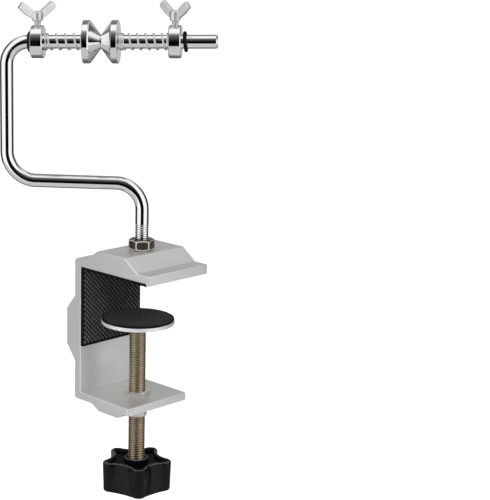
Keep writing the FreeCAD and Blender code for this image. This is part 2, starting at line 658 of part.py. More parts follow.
def draw_rod_path(sketch):
    """Foot, middle run, outer upright and spindle, with an arc between each two."""
    foot, end_x, end_z = size("rod_foot"), size("free_end_reach"), size("free_end_height")
    middle, reach, corner = size("middle_height"), size("arm_reach"), size("spindle_corner_height")
    lower, outer, upper = size("lower_bend_radius"), size("middle_bend_radius"), size("upper_bend_radius")
    rise = math.radians(size("spindle_rise"))
    upper_tangent = upper * math.tan(math.radians(size("upright_turn")) / 2)
    spindle_start = (-reach + upper_tangent * math.cos(rise), corner + upper_tangent * math.sin(rise))
    runs = [
        ((0, foot), (0, middle - lower)),
        ((-lower, middle), (outer - reach, middle)),
        ((-reach, middle + outer), (-reach, corner - upper_tangent)),
        (spindle_start, (end_x, end_z)),
    ]
    arcs = [
        ((-lower, middle - lower), lower, 0, math.pi / 2),
        ((outer - reach, middle + outer), outer, math.pi, 3 * math.pi / 2),
        ((upper - reach, corner - upper_tangent), upper, math.pi / 2 + rise, math.pi),
    ]
    # Edges run in order: run, arc, run, arc, run, arc, run.
    for index, (start, end) in enumerate(runs):
        sketch.addGeometry(Part.LineSegment(Vector(*start, 0), Vector(*end, 0)))
        if index < len(arcs):
            centre, radius, first, last = arcs[index]
            circle = Part.Circle(Vector(*centre, 0), Vector(0, 0, 1), radius)
            sketch.addGeometry(Part.ArcOfCircle(circle, first, last))
    # Each arc is drawn anticlockwise, so only the first one starts at the foot's side.
    for arc, foot_side, spindle_side in ((1, 1, 2), (3, 2, 1), (5, 2, 1)):
        sketch.addConstraint(Sketcher.Constraint("Tangent", arc - 1, 2, arc, foot_side))
        sketch.addConstraint(Sketcher.Constraint("Tangent", arc, spindle_side, arc + 1, 1))
    sketch.addConstraint(Sketcher.Constraint("Vertical", 0))
    sketch.addConstraint(Sketcher.Constraint("Horizontal", 2))
    sketch.addConstraint(Sketcher.Constraint("Vertical", 4))
    sketch.addConstraint(Sketcher.Constraint("PointOnObject", 0, 1, -2))
    constrain(sketch, "DistanceY", (-1, 1, 0, 1), "rod_foot")
    constrain(sketch, "DistanceY", (-1, 1, 2, 1), "middle_height")
    constrain(sketch, "DistanceX", (4, 1, -1, 1), "arm_reach")
    constrain(sketch, "Radius", (1,), "lower_bend_radius")
    constrain(sketch, "Radius", (3,), "middle_bend_radius")
    constrain(sketch, "Radius", (5,), "upper_bend_radius")
    constrain(sketch, "DistanceX", (-1, 1, 6, 2), "free_end_reach")
    constrain(sketch, "DistanceY", (-1, 1, 6, 2), "free_end_height")
    lean = sketch.addConstraint(Sketcher.Constraint("Angle", 6, rise))
    sketch.setExpression(f"Constraints[{lean}]", "Sizes.spindle_rise * 1deg")


def make_arm_rod():
    body = new_body("arm_rod", ON_ARM)
    path = new_sketch(body, "path", "XZ_Plane")
    draw_rod_path(path)
    section = new_sketch(body, "section", "XY_Plane", height="rod_foot")
    draw_circle(section, "datum", "datum", "rod_diameter")
    pipe = body.newObject("PartDesign::AdditivePipe", "arm_rod_bar")
    pipe.Profile = section
    pipe.Spine = (path, [f"Edge{index + 1}" for index in range(len(path.Geometry))])
    doc.recompute()
    ends = [
        Vector(0, 0, size("rod_foot")),
        Vector(size("free_end_reach"), 0, size("free_end_height")),
    ]
    dress(
        body, "Chamfer", "ends", "rod_end_chamfer",
        lambda edge: is_circle(edge) and any(near(edge.Curve.Center.distanceToPoint(end), 0) for end in ends),
    )


def make_lock_nut():
    body = new_body("lock_nut", ON_FOOT)
    hexagon(body, "nut_flats", "nut_height", "crest_top", "nut_heading")
    groove(body, "upper_corners", [
        ("nut_face_radius", "nut_top"),
        ("nut_cut_radius", "nut_cut_foot"),
        ("nut_cut_radius", "nut_top"),
    ], "Z")
    groove(body, "lower_corners", [
        ("nut_face_radius", "crest_top"),
        ("nut_cut_radius", "crest_top"),
        ("nut_cut_radius", "nut_cut_head"),
    ], "Z")
    drill(body, "thread", "datum", "bore_diameter", "nut_top", "nut_height")


# Spindle sets: each side has a cone, a spring, a collar, a stop ring and a wing screw


def make_cone(side):
    body = new_body(f"{side}_cone", ON_SPINDLE)
    turning(body, "solid", [
        (f"{side}_tip", "bore_radius"),
        (f"{side}_tip", "tip_radius"),
        (f"{side}_rim", "cone_radius"),
        (f"{side}_back", "cone_radius"),
        (f"{side}_back", "bore_radius"),
    ], "X")
    dress(body, "Fillet", "rim_edges", "cone_edge_radius", lambda edge: round_edge(edge, size("cone_radius")))


def make_spring(side):
    body = new_body(f"{side}_spring", ON_SPINDLE)
    wire = new_sketch(body, "wire", "XZ_Plane")
    draw_circle(wire, f"{side}_spring_start", "spring_radius", "spring_wire")
    coil = body.newObject("PartDesign::AdditiveHelix", f"{side}_spring_coil")
    coil.Profile = wire
    coil.ReferenceAxis = (wire, ["H_Axis"])
    coil.Mode = "height-turns-angle"
    coil.setExpression("Height", cell(f"{side}_spring_height"))
    coil.setExpression("Turns", cell(f"{side}_spring_turns"))
    doc.recompute()


def make_collar(side):
    body = new_body(f"{side}_collar", ON_SPINDLE)
    turning(body, "ring", [
        (f"{side}_collar_inner", "bore_radius"),
        (f"{side}_collar_inner", "collar_radius"),
        (f"{side}_collar_outer", "collar_radius"),
        (f"{side}_collar_outer", "bore_radius"),
    ], "X")
    dress(body, "Chamfer", "edges", "collar_chamfer", lambda edge: round_edge(edge, size("collar_radius")))
    drill(body, "stud_hole", f"{side}_collar_middle", "stud_hole_diameter", "collar_radius", "collar_radius")


def make_ring(side):
    body = new_body(f"{side}_o_ring", ON_SPINDLE)
    section = new_sketch(body, "section", "XZ_Plane")
    draw_circle(section, f"{side}_ring_station", "ring_centre_radius", "ring_section")
    revolve(body, "ring", section, "X")


def make_stud(side):
    body = new_body(f"{side}_wing_stud", ON_WING_SCREW.format(side=side))
    circle = new_sketch(body, "circle", "XY_Plane", height="stud_tip")
    draw_circle(circle, "datum", "datum", "stud_diameter")
    pad(body, "shank", circle, "stud_length")


def make_wing(side):
    body = new_body(f"{side}_wing", ON_WING_SCREW.format(side=side))
    turning(body, "boss", [
        ("datum", "wing_foot"),
        ("boss_toe_radius", "wing_foot"),
        ("wing_boss_radius", "wing_shoulder"),
        ("wing_boss_radius", "wing_boss_top"),
        ("datum", "wing_boss_top"),
    ], "Z")
    slab = new_sketch(body, "slab_outline", "XZ_Plane", turn="-wing_angle")
    slab.setExpression("AttachmentOffset.Base.y", cell("wing_root"))
    draw_outline(slab, [
        ("-wing_half_width", "datum"),
        ("wing_half_width", "datum"),
        ("wing_half_width", "wing_length"),
        ("-wing_half_width", "wing_length"),
    ])
    lobe = pad(body, "slab", slab, "wing_thickness", both_sides=True)
    mirror = body.newObject("PartDesign::Mirrored", f"{side}_wing_pair")
    mirror.Originals = [lobe]
    mirror.MirrorPlane = (origin_feature(body, "YZ_Plane"), [""])
    body.Tip = mirror
    doc.recompute()
    root = Vector(0, 0, size("wing_root"))
    tip_distance = math.hypot(size("wing_length"), size("wing_half_width"))

    def at_tip(edge):
        start = ends_of(edge)[0]
        return lies_along(edge, 1) and near(Vector(start.x, 0, start.z).distanceToPoint(root), tip_distance)

    dress(body, "Fillet", "tips", "wing_tip_radius", at_tip)
    drill(body, "thread", "datum", "stud_hole_diameter", "stud_bore_top", "wing_bore_depth")


def make_model():
    make_clamp_frame()
    make_clamp_pads()
    make_threaded_bush()
    make_press_foot()
    make_clamp_screw()
    make_knob()
    make_arm_rod()
    make_lock_nut()
    for side in ("left", "right"):
        make_cone(side)
        make_spring(side)
        make_collar(side)
        make_ring(side)
        make_stud(side)
        make_wing(side)


def check_model():
    for item in doc.Objects:
        if "Invalid" in item.State or "Error" in item.State:
            raise RuntimeError(f"{item.Name} failed: {item.State}")
    for body in bodies:
        shape = body.Shape
        if shape.isNull() or not shape.isValid():
            raise RuntimeError(f"{body.Label} has no valid shape")
        if len(shape.Solids) != 1:
            raise RuntimeError(f"{body.Label} holds {len(shape.Solids)} solids")


def write_model():
    os.makedirs("parts", exist_ok=True)
    for body in bodies:
        body.Shape.exportStep(f"parts/{body.Label}.step")


make_model()
doc.recompute()
check_model()
write_model()
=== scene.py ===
"""Fishing line winder with a table clamp: threads, springs, knurled rubber and finishes on its frame."""
import json
import math
import bmesh
import bpy
from bpy.props import FloatProperty, FloatVectorProperty, IntProperty, PointerProperty
from mathutils import Euler, Matrix, Vector


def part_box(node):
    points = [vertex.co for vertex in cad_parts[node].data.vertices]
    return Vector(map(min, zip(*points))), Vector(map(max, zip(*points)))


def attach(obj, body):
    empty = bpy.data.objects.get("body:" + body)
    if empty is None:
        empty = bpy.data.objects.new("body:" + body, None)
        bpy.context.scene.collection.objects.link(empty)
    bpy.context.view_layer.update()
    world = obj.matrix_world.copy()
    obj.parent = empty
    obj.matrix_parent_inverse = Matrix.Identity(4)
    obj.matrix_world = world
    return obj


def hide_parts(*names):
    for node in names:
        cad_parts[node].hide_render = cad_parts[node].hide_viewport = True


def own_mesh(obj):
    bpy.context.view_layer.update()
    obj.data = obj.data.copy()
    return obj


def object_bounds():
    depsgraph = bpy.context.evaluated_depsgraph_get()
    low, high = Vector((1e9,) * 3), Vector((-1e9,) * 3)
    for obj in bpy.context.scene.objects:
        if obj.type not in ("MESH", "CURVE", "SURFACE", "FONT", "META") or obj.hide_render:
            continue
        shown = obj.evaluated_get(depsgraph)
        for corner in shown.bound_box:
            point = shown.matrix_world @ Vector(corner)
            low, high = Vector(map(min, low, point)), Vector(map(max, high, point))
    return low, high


bl_info = {
    "name": "Line Winder",
    "version": (1, 0, 0),
    "blender": (4, 5, 0),
    "location": "3D View > Sidebar > Winder",
    "description": "Dresses the frame of a table-clamped line winder, one piece at a time",
    "category": "Object",
}

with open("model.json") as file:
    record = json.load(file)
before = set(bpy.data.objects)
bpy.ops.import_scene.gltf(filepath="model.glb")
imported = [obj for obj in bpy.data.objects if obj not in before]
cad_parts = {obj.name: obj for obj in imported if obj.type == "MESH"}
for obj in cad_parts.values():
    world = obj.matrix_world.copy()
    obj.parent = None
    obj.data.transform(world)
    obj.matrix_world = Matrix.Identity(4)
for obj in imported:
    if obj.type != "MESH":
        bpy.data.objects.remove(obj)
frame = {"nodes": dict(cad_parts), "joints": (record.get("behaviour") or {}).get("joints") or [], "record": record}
CAD_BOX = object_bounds()
MM = 0.001
# Points closer than this are one: SEAM where separate faces meet, TOUCH in any finished mesh
SEAM = 0.002 * MM
TOUCH = 0.0001 * MM
# Degrees: the steps round a turned piece are shaded smooth, and its bevels are not
TURNED_CREASE = 3.2
# Cells that the cast wings are made one skin with
CAST_GRAIN = 0.16 * MM
JOINTS = {joint["name"]: joint for joint in frame["joints"]}
MOUNTS = {mount["name"]: mount for mount in frame["record"]["mounts"]}


# Places. Every turned piece is drawn round the Z axis of its own place.


def placement(origin, axis, towards):
    """Matrix at origin whose Z axis is axis, and whose X axis leans towards the second direction."""
    z = Vector(axis).normalized()
    y = z.cross(Vector(towards)).normalized()
    x = y.cross(z)
    return Matrix.Translation(Vector(origin)) @ Matrix((x, y, z)).transposed().to_4x4()


UPRIGHT = Matrix.Identity(4)
SPINDLE_AXIS = Vector(JOINTS["right_cone_spin"]["axis"])
STUD_AXIS = Vector(JOINTS["left_stud_out"]["axis"])
SPINDLE = placement(MOUNTS["spool_seat"]["pos_m"], SPINDLE_AXIS, STUD_AXIS)


def corners_in(node, place=UPRIGHT):
    """Vertices of a frame node, in a place."""
    inverse = place.inverted()
    return [inverse @ vertex.co for vertex in frame["nodes"][node].data.vertices]


def reach(node, place=UPRIGHT):
    """Lowest and highest coordinate of a frame node along the Z axis of a place."""
    values = [point.z for point in corners_in(node, place)]
    return min(values), max(values)


def radius_of(node, place=UPRIGHT):
    """Largest distance of a frame node from the Z axis of a place."""
    return max(point.xy.length for point in corners_in(node, place))


# Sizes and colours that a user would change


def distance(name, millimetres, description):
    return FloatProperty(name=name, description=description, default=millimetres * MM, min=0.0,
                         precision=5, subtype="DISTANCE", unit="LENGTH")


def turn(name, degrees, description):
    return FloatProperty(name=name, description=description, default=math.radians(degrees),
                         subtype="ANGLE", unit="ROTATION")


def coils(name, count, description):
    return FloatProperty(name=name, description=description, default=count, min=0.0)


def share(name, value, description):
    return FloatProperty(name=name, description=description, default=value, min=0.0, soft_max=1.0,
                         subtype="FACTOR")


def colour(name, value, description):
    return FloatVectorProperty(name=name, description=description, default=value, min=0.0, max=1.0,
                               size=3, subtype="COLOR")


class WINDER_PG_finishes(bpy.types.PropertyGroup):
    """Colours of the finishes"""

    aluminium: colour("Aluminium", (0.87, 0.87, 0.865), "Satin extruded clamp frame")
    polished: colour("Polished aluminium", (0.94, 0.945, 0.95), "Turned cones and collars")
    chrome: colour("Chrome", (0.96, 0.965, 0.97), "Plated rod")
    zinc: colour("Zinc", (0.9, 0.905, 0.91), "Wing screws and the press plate")
    nickel: colour("Nickel", (0.85, 0.83, 0.75), "Threaded bush")
    passivated: colour("Passivated steel", (0.5, 0.42, 0.32), "Clamp screw")
    blackened: colour("Blackened steel", (0.08, 0.066, 0.056), "Lock nut")
    # Painted highlight on the frames round the lock nut's flats
    worn_steel: colour("Edge highlight steel", (0.7, 0.66, 0.6), "Painted highlight on the lock nut's frames")
    spring: colour("Spring steel", (0.95, 0.94, 0.92), "Drawn wire of the springs")
    brass: colour("Brass", (0.72, 0.55, 0.25), "Insert in the knob")
    rubber: colour("Rubber", (0.006, 0.006, 0.006), "Pads and stop rings")
    # Painted highlight: the raised knurls and dots are made greyer
    worn_rubber: colour("Raised rubber", (0.18, 0.18, 0.175), "Tops of the knurls and dots")
    plastic: colour("Knob plastic", (0.003, 0.004, 0.004), "Glossy moulding")
    # Painted highlight: a lighter grey painted along the knob's rims where they catch the light
    handled_plastic: colour("Painted highlight plastic", (0.16, 0.16, 0.16), "Sheen along the knob's rims")


class WINDER_PG_clamp(bpy.types.PropertyGroup):
    """Details of the clamp"""

    edge_bevel: distance("Edge break", 0.4, "Broken edges of the extrusion")
    bush_bevel: distance("Bush edge break", 0.2, "Broken edges of the threaded bush")
    # The frame's colour is a painted highlight
    nut_frame: distance("Nut frame", 0.7, "Bright frame round each flat of the lock nut")
    knurl_spacing: distance("Knurl spacing", 2.95, "Between the diamonds of the clamp's pads")
    knurl_rise: distance("Knurl rise", 0.5, "Height of those diamonds")
    dot_spacing: distance("Dot spacing", 1.4, "Between the dots of the press pad")
    dot_rise: distance("Dot rise", 0.22, "Height of those dots")
    pad_bevel: distance("Press pad bevel", 0.15, "Bevel of the press pad's sheet")
    plate_rounding: distance("Plate rounding", 0.45, "Rolled edge of the press plate")
    screw_pitch: distance("Clamp screw pitch", 1.5, "Pitch of the clamp screw")
    screw_depth: distance("Clamp screw depth", 0.42, "Depth of the clamp screw's thread")
    screw_gap: distance("Screw gap", 0.1, "Between the thread's upper end and the press plate")
    spigot_radius: distance("Spigot radius", 3.5, "Radius of the screw's turned end")
    head_radius: distance("Screw head radius", 4.5, "Radius of the head that holds the press plate")


class WINDER_PG_knob(bpy.types.PropertyGroup):
    """Sizes of the lobed knob"""

    lobes: IntProperty(name="Lobes", description="Number of lobes", default=5, min=3, max=12)
    heading: turn("Heading", -2.5, "Heading of one hollow between the lobes")
    upper_arc: distance("Upper arc", 13.3, "Radius of the hollows at the knob's upper face")
    lower_arc: distance("Lower arc", 45.0, "Radius of the hollows at the knob's lower face")
    upper_hollow: distance("Upper hollow", 6.6, "Depth of the hollows at the knob's upper face")
    lower_hollow: distance("Lower hollow", 4.2, "Depth of the hollows at the knob's lower face")
    lobe_rounding: distance("Lobe rounding", 4.6, "Rounding of the lobes' corners")
    edge_rounding: distance("Edge rounding", 1.1, "Rounding of the outer edges")
    bead_width: distance("Bead width", 0.9, "Width of the bead round the upper face")
    dish_depth: distance("Dish depth", 2.2, "Depth of the face inside the bead")
    hub_rise: distance("Hub rise", 0.6, "Height of the hub above the bead")
    hub_radius: distance("Hub radius", 7.3, "Radius of the hub round the screw")
    draft: distance("Draft", 0.6, "How much smaller the lower end is")


class WINDER_PG_rod(bpy.types.PropertyGroup):
    """Route of the bent rod"""

    rod_radius: distance("Rod radius", 3.995, "Radius of the bar over its plating")
    middle_height: distance("Middle height", 53.3, "Height of the middle run")
    arm_reach: distance("Arm reach", 80.4, "Between the rod's two upright runs")
    lower_bend: distance("Lower bend", 15.4, "Centre-line radius above the clamp")
    middle_bend: distance("Middle bend", 17.3, "Centre-line radius of the outer lower bend")
    upper_bend: distance("Upper bend", 13.4, "Centre-line radius of the bend into the spindle")
    thread_top: distance("Thread top", 29.4, "Height at which the foot's thread ends")
    foot_pitch: distance("Foot pitch", 1.4, "Pitch of the foot's thread")
    foot_depth: distance("Foot thread depth", 0.55, "Depth of the foot's thread")
    end_chamfer: distance("End chamfer", 0.8, "Chamfer of the free end")


class WINDER_PG_spindle(bpy.types.PropertyGroup):
    """Details of what runs on the spindle"""

    rim_bevel: distance("Rim bevel", 0.75, "Bevel between a cone's rim and its slope")
    rim_rounding: distance("Rim rounding", 0.35, "Rounding of the rim's edges")
    cone_bore: distance("Cone bore", 4.05, "Radius of the cones' bores")
    collar_chamfer: distance("Collar chamfer", 0.5, "Chamfer of the collars' edges")
    ring_tilt: turn("Ring tilt", 4.5, "Tilt of the right-hand stop ring on the rod")
    wire: distance("Spring wire", 0.95, "Diameter of the springs' wire")
    left_turns: coils("Left coils", 6.1, "Coils of the left-hand spring")
    left_closed: coils("Left closed coils", 1.6, "Closed coils at the left-hand collar")
    left_start: turn("Left start", 164.0, "Heading at which the left-hand spring's wire starts")
    right_turns: coils("Right coils", 8.3, "Coils of the right-hand spring")
    right_closed: coils("Right closed coils", 2.4, "Closed coils at the right-hand cone")
    end_turns: coils("End coils", 0.7, "Closed coils at each spring's other end")
    stud_pitch: distance("Stud pitch", 0.7, "Pitch of the wing screws")
    stud_depth: distance("Stud thread depth", 0.38, "Depth of the wing screws' thread")
    wing_lean: turn("Wing lean", 52.0, "Lean of each wing from the screw's axis")
    wing_width: distance("Wing width", 4.4, "Width of each wing")
    wing_thickness: distance("Wing thickness", 2.6, "Thickness of each wing")
    wing_tip: distance("Wing tip rounding", 0.9, "Rounding of the wings' tips")
    boss_height: distance("Boss height", 6.0, "Height of the round boss between the wings")
    wing_heel: distance("Wing heel", 0.2, "Boss's lower end up to the wings' lower corners")


class WINDER_PG_stage(bpy.types.PropertyGroup):
    """Floor, light and camera"""

    floor_gap: distance("Floor gap", 60.0, "Floor below the knob")
    floor_radius: distance("Floor radius", 9000.0, "Radius of the floor")
    fill: share("Fill light", 0.48, "Strength of the even light from all round")
    mat_grey: share("Mat grey", 0.58, "Brightness of the grey mat that polished metal mirrors")
    back_grey: share("Back grey", 0.52, "Brightness of the grey card behind, which polished metal mirrors")
    key_power: FloatProperty(name="Key power", description="Power of the soft lamp, in watts", default=14.0)
    lamp_size: distance("Lamp size", 1200.0, "Diameter of the soft lamp")
    lamp_distance: distance("Lamp distance", 1500.0, "Between the soft lamp and the winder")
    key_heading: turn("Key heading", -50.0, "Heading of the soft lamp")
    key_slope: turn("Key slope", 30.0, "Elevation of the soft lamp")
    floor_lift: share("Floor lift", 0.65, "Brightness added to the floor where it is seen")


GROUPS = {
    "winder_finishes": WINDER_PG_finishes,
    "winder_clamp": WINDER_PG_clamp,
    "winder_knob": WINDER_PG_knob,
    "winder_rod": WINDER_PG_rod,
    "winder_spindle": WINDER_PG_spindle,
    "winder_stage": WINDER_PG_stage,
}


# Node helpers. A Formula stands for a socket, and arithmetic on it adds Math nodes to its tree.


class Formula:
    """Socket of a material or geometry tree that can be reckoned with."""

    def __init__(self, tree, socket):
        self.tree = tree
        self.socket = socket

    def math(self, operation, *values, clamp=False):
        inputs = dict(enumerate((self, *values)))
        return node_value(self.tree, "ShaderNodeMath", inputs, operation=operation, use_clamp=clamp)

    def __add__(self, other):
        return self.math("ADD", other)

    def __sub__(self, other):
        return self.math("SUBTRACT", other)

    def __mul__(self, other):
        return self.math("MULTIPLY", other)

    def __truediv__(self, other):
        return self.math("DIVIDE", other)


def set_inputs(tree, node, inputs):
    """Sets each named input of a node to a value, or links it to a formula's socket."""
    for name, value in inputs.items():
        if isinstance(value, Formula):
            tree.links.new(value.socket, node.inputs[name])
        else:
            node.inputs[name].default_value = value


def add_node(tree, kind, inputs=None, **settings):
    """Node with its settings and inputs."""
    node = tree.nodes.new(kind)
    for name, value in settings.items():
        setattr(node, name, value)
    set_inputs(tree, node, inputs or {})
    return node


def node_value(tree, kind, inputs=None, output=0, **settings):
    """Formula of one output of a new node."""
    return Formula(tree, add_node(tree, kind, inputs, **settings).outputs[output])


# Finishes. Patterns read Object coordinates, in metres in the row frame; their grains are in millimetres.


def noise(place, size, detail=3.0, stretch=(1.0, 1.0, 1.0), turned=(0.0, 0.0, 0.0)):
    """Noise whose grains have that size, drawn out along the axes by stretch."""
    scale = [1.0 / (size * MM * factor) for factor in stretch]
    turned_place = node_value(place.tree, "ShaderNodeMapping", {"Vector": place, "Rotation": turned})
    scaled = node_value(place.tree, "ShaderNodeMapping", {"Vector": turned_place, "Scale": scale})
    return node_value(place.tree, "ShaderNodeTexNoise", {
        "Vector": scaled, "Scale": 1.0, "Detail": detail, "Roughness": 0.55}, output="Fac")


def stored(tree, name):
    """What the mesh stores at its points or faces under a name."""
    return node_value(tree, "ShaderNodeAttribute", output="Fac", attribute_name=name)


def between(value, low, high, start=0.3, end=0.7):
    """Value of a pattern, brought from its start and end to a low and a high figure."""
    return node_value(value.tree, "ShaderNodeMapRange", {
        "Value": value, "From Min": start, "From Max": end, "To Min": low, "To Max": high})


def tinted(value, base, other):
    """Colour that wanders between two colours with a pattern."""
    return node_value(value.tree, "ShaderNodeMix", {
        "Factor": value, "A": (*base, 1.0), "B": (*other, 1.0)}, output="Result", data_type="RGBA")


def bumps(height, depth, strength):
    """Surface direction under the relief of a pattern, depth millimetres high."""
    return node_value(height.tree, "ShaderNodeBump", {
        "Height": height, "Distance": depth * MM, "Strength": strength})


def shade(value, factor):
    return tuple(channel * factor for channel in value)


def frame_aluminium(place, colours):
    """Satin aluminium: fine blasted grain over faint lines along the extrusion, with a painted highlight on its
    bevelled edges.
    """
    lines = noise(place, 0.6, 2.0, stretch=(1.0, 60.0, 1.0))
    grain = noise(place, 0.4, 2.0)
    clouds = noise(place, 12.0)
    # Painted highlight: the marked bevel faces are made lighter
    dull = clouds * 0.3 + grain * 0.5 + 0.2 - stored(place.tree, "broken_edge") * 0.5
    return {
        "Metallic": 0.72,
        "Base Color": tinted(dull, shade(colours.aluminium, 1.12), shade(colours.aluminium, 0.8)),
        "Roughness": between(lines, -0.03, 0.03) + between(clouds, 0.38, 0.45),
        "Normal": bumps(lines * 0.5 + grain, 0.01, 0.6),
    }


def turned_aluminium(place, colours):
    """Polished aluminium with faint rings from the lathe, round the spindle's axis."""
    turning = SPINDLE.inverted().to_euler()
    rings = noise(place, 0.18, 2.0, stretch=(400.0, 400.0, 1.0), turned=turning)
    smudges = noise(place, 4.0)
    return {
        "Metallic": 1.0,
        "Base Color": tinted(smudges, colours.polished, shade(colours.polished, 0.95)),
        "Roughness": between(rings, 0.0, 0.04) + between(smudges, 0.03, 0.06),
        "Normal": bumps(rings, 0.003, 0.5),
    }


def chrome(place, colours):
    """Bright chrome with faint smudges."""
    smudges = noise(place, 6.0, 4.0)
    orange_peel = noise(place, 1.5, 1.0)
    return {
        "Metallic": 1.0,
        "Base Color": tinted(smudges, colours.chrome, shade(colours.chrome, 0.96)),
        "Roughness": between(smudges, 0.03, 0.075),
        "Normal": bumps(orange_peel, 0.004, 0.35),
    }


def blackened_steel(place, colours):
    """Black oxide over steel, with a painted highlight on the marked frames round its flats."""
    mottle = noise(place, 3.0, 4.0)
    # Painted highlight: lighter, less metallic colour on the marked frames
    highlight_mask = stored(place.tree, "broken_edge")
    bright = highlight_mask * between(mottle, 0.6, 1.0)
    return {
        "Metallic": between(highlight_mask, 0.5, 0.1, 0.0, 1.0),
        "Base Color": tinted(bright, colours.blackened, colours.worn_steel),
        "Roughness": between(mottle, 0.2, 0.32),
        "Normal": bumps(noise(place, 0.5), 0.01, 0.6),
    }


def moulded_rubber(place, colours):
    """Matte moulded rubber: black where it is smooth, with a painted highlight greyer up the sides of its relief.
    """
    bloom = noise(place, 5.0, 4.0)
    # Painted highlight on the relief, patchy with the bloom
    highlight_mask = stored(place.tree, "relief").math("POWER", 2.5) * between(bloom, 0.6, 1.0)
    return {
        "Specular IOR Level": 0.1,
        "Base Color": tinted(highlight_mask, colours.rubber, colours.worn_rubber),
        "Roughness": between(bloom, 0.45, 0.62),
        "Normal": bumps(noise(place, 0.3), 0.03, 0.7),
    }


def glossy_plastic(place, colours):
    """Glossy moulded plastic, matt in its dish, with a painted highlight along its rims."""
    marks = noise(place, 3.0, 5.0)
    # Painted highlight: the stored sheen lightens the plastic's colour along the rims, broken up by the marks
    rim_highlight = stored(place.tree, "sheen") * between(marks, 0.3, 1.2, 0.35, 0.65)
    return {
        "Specular IOR Level": between(stored(place.tree, "matt"), 0.18, 0.01, 0.0, 1.0),
        "Base Color": tinted(rim_highlight, colours.plastic, colours.handled_plastic),
        "Roughness": between(marks, 0.12, 0.2),
        "Normal": bumps(noise(place, 2.5, 2.0), 0.01, 0.5),
    }


# Metals with one colour, mottled: colour, share of red, green and blue left in its darker patches,
# roughness, grain, depth of the grain's relief, metallic share
METALS = {
    "bush_steel": ("nickel", (0.85, 0.85, 0.85), 0.2, 0.5, 0.008, 0.75),
    "plate_steel": ("zinc", (0.9, 0.9, 0.9), 0.35, 0.4, 0.008, 0.5),
    "wing_zinc": ("zinc", (0.9, 0.9, 0.9), 0.3, 0.7, 0.01, 0.85),
    "screw_steel": ("passivated", (0.8, 0.72, 0.62), 0.3, 0.6, 0.01, 1.0),
    "spring_steel": ("spring", (0.9, 0.87, 0.83), 0.06, 0.5, 0.004, 1.0),
    "insert_brass": ("brass", (0.8, 0.8, 0.8), 0.25, 0.5, 0.006, 1.0),
}


def mottled_metal(place, base, darker, roughness, size, depth, metal):
    """Plated, drawn or turned metal: mottled colour, and the grain of what lies under it."""
    mottle = noise(place, size * 8, 4.0)
    grain = noise(place, size)
    return {
        "Metallic": metal,
        "Base Color": tinted(mottle, base, [channel * share for channel, share in zip(base, darker)]),
        "Roughness": between(grain, -0.04, 0.04) + between(mottle, roughness, roughness * 1.5),
        "Normal": bumps(grain, depth, 0.6),
    }


FINISHES = {
    "frame_aluminium": frame_aluminium,
    "black_rubber": moulded_rubber,
    "knob_plastic": glossy_plastic,
    "rod_chrome": chrome,
    "nut_steel": blackened_steel,
    "polished_aluminium": turned_aluminium,
}


def finish(slot):
    """Material of one of the record's slots, made once."""
    material = bpy.data.materials.get(f"finish_{slot}")
    if material is None:
        material = bpy.data.materials.new(f"finish_{slot}")
        material.use_nodes = True
        tree = material.node_tree
        colours = bpy.context.scene.winder_finishes
        place = node_value(tree, "ShaderNodeTexCoord", output="Object")
        if slot in METALS:
            name, *look = METALS[slot]
            surface = mottled_metal(place, getattr(colours, name), *look)
        else:
            surface = FINISHES[slot](place, colours)
        set_inputs(tree, tree.nodes["Principled BSDF"], surface)
    return material


# Mesh helpers


def add_piece(node, look, mesh, body, slot, crease=35.0):
    """Piece from a mesh in the row frame; it rides on a body and stands for a frame node."""
    mesh.name = f"{node}_{look}"
    mesh.shade_smooth()
    mesh.set_sharp_from_angle(angle=math.radians(crease))
    mesh.materials.clear()
    mesh.materials.append(finish(slot))
    piece = bpy.data.objects.new(f"{node}_{look}", mesh)
    bpy.context.scene.collection.objects.link(piece)
    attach(piece, body)
    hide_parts(node)
    return piece


def mesh_from(bm, place=UPRIGHT):
    """Mesh of a bmesh, closed, with its faces outwards, moved from its place to the row frame."""
    bmesh.ops.remove_doubles(bm, verts=bm.verts, dist=TOUCH)
    bmesh.ops.recalc_face_normals(bm, faces=bm.faces)
    mesh = bpy.data.meshes.new("surface")
    bm.to_mesh(mesh)
    bm.free()
    mesh.transform(place)
    return mesh


def rounded(corners, steps=6):
    """Closed outline of (x, y, rounding) corners, with an arc at each corner that has a rounding."""
    outline = []
    for index, (x, y, radius) in enumerate(corners):
        corner = Vector((x, y))
        if radius <= 0.0:
            outline.append(corner)
            continue
        before = (Vector(corners[index - 1][:2]) - corner).normalized()
        after = (Vector(corners[(index + 1) % len(corners)][:2]) - corner).normalized()
        half = before.angle(after) / 2
        centre = corner + (before + after).normalized() * radius / math.sin(half)
        start = corner + before * radius / math.tan(half) - centre
        end = corner + after * radius / math.tan(half) - centre
        sweep = math.copysign(math.pi - 2 * half, start.x * end.y - start.y * end.x)
        outline += [centre + Matrix.Rotation(sweep * step / steps, 2) @ start for step in range(steps + 1)]
    return outline


def rings_mesh(bm, rings, solid):
    """Skin of quads over rings of equal count; a solid is capped, else the last ring meets the first."""
    rows = [[bm.verts.new(point) for point in ring] for ring in rings]
    for lower, upper in zip(rows, rows[1:] if solid else rows[1:] + rows[:1]):
        for index in range(len(lower)):
            after = (index + 1) % len(lower)
            bm.faces.new((lower[index], lower[after], upper[after], upper[index]))
    if solid:
        bm.faces.new(reversed(rows[0]))
        bm.faces.new(rows[-1])
    return rows


def circle(radius, height, steps):
    angles = [math.tau * step / steps for step in range(steps)]
    return [Vector((radius * math.cos(angle), radius * math.sin(angle), height)) for angle in angles]


def turned_mesh(profile, place=UPRIGHT, steps=128, solid=False):
    """Ring turned from a closed profile of (radius, height) points, or a solid one capped at both ends."""
    bm = bmesh.new()
    rings_mesh(bm, [circle(radius, height, steps) for radius, height in profile], solid)
    return mesh_from(bm, place)


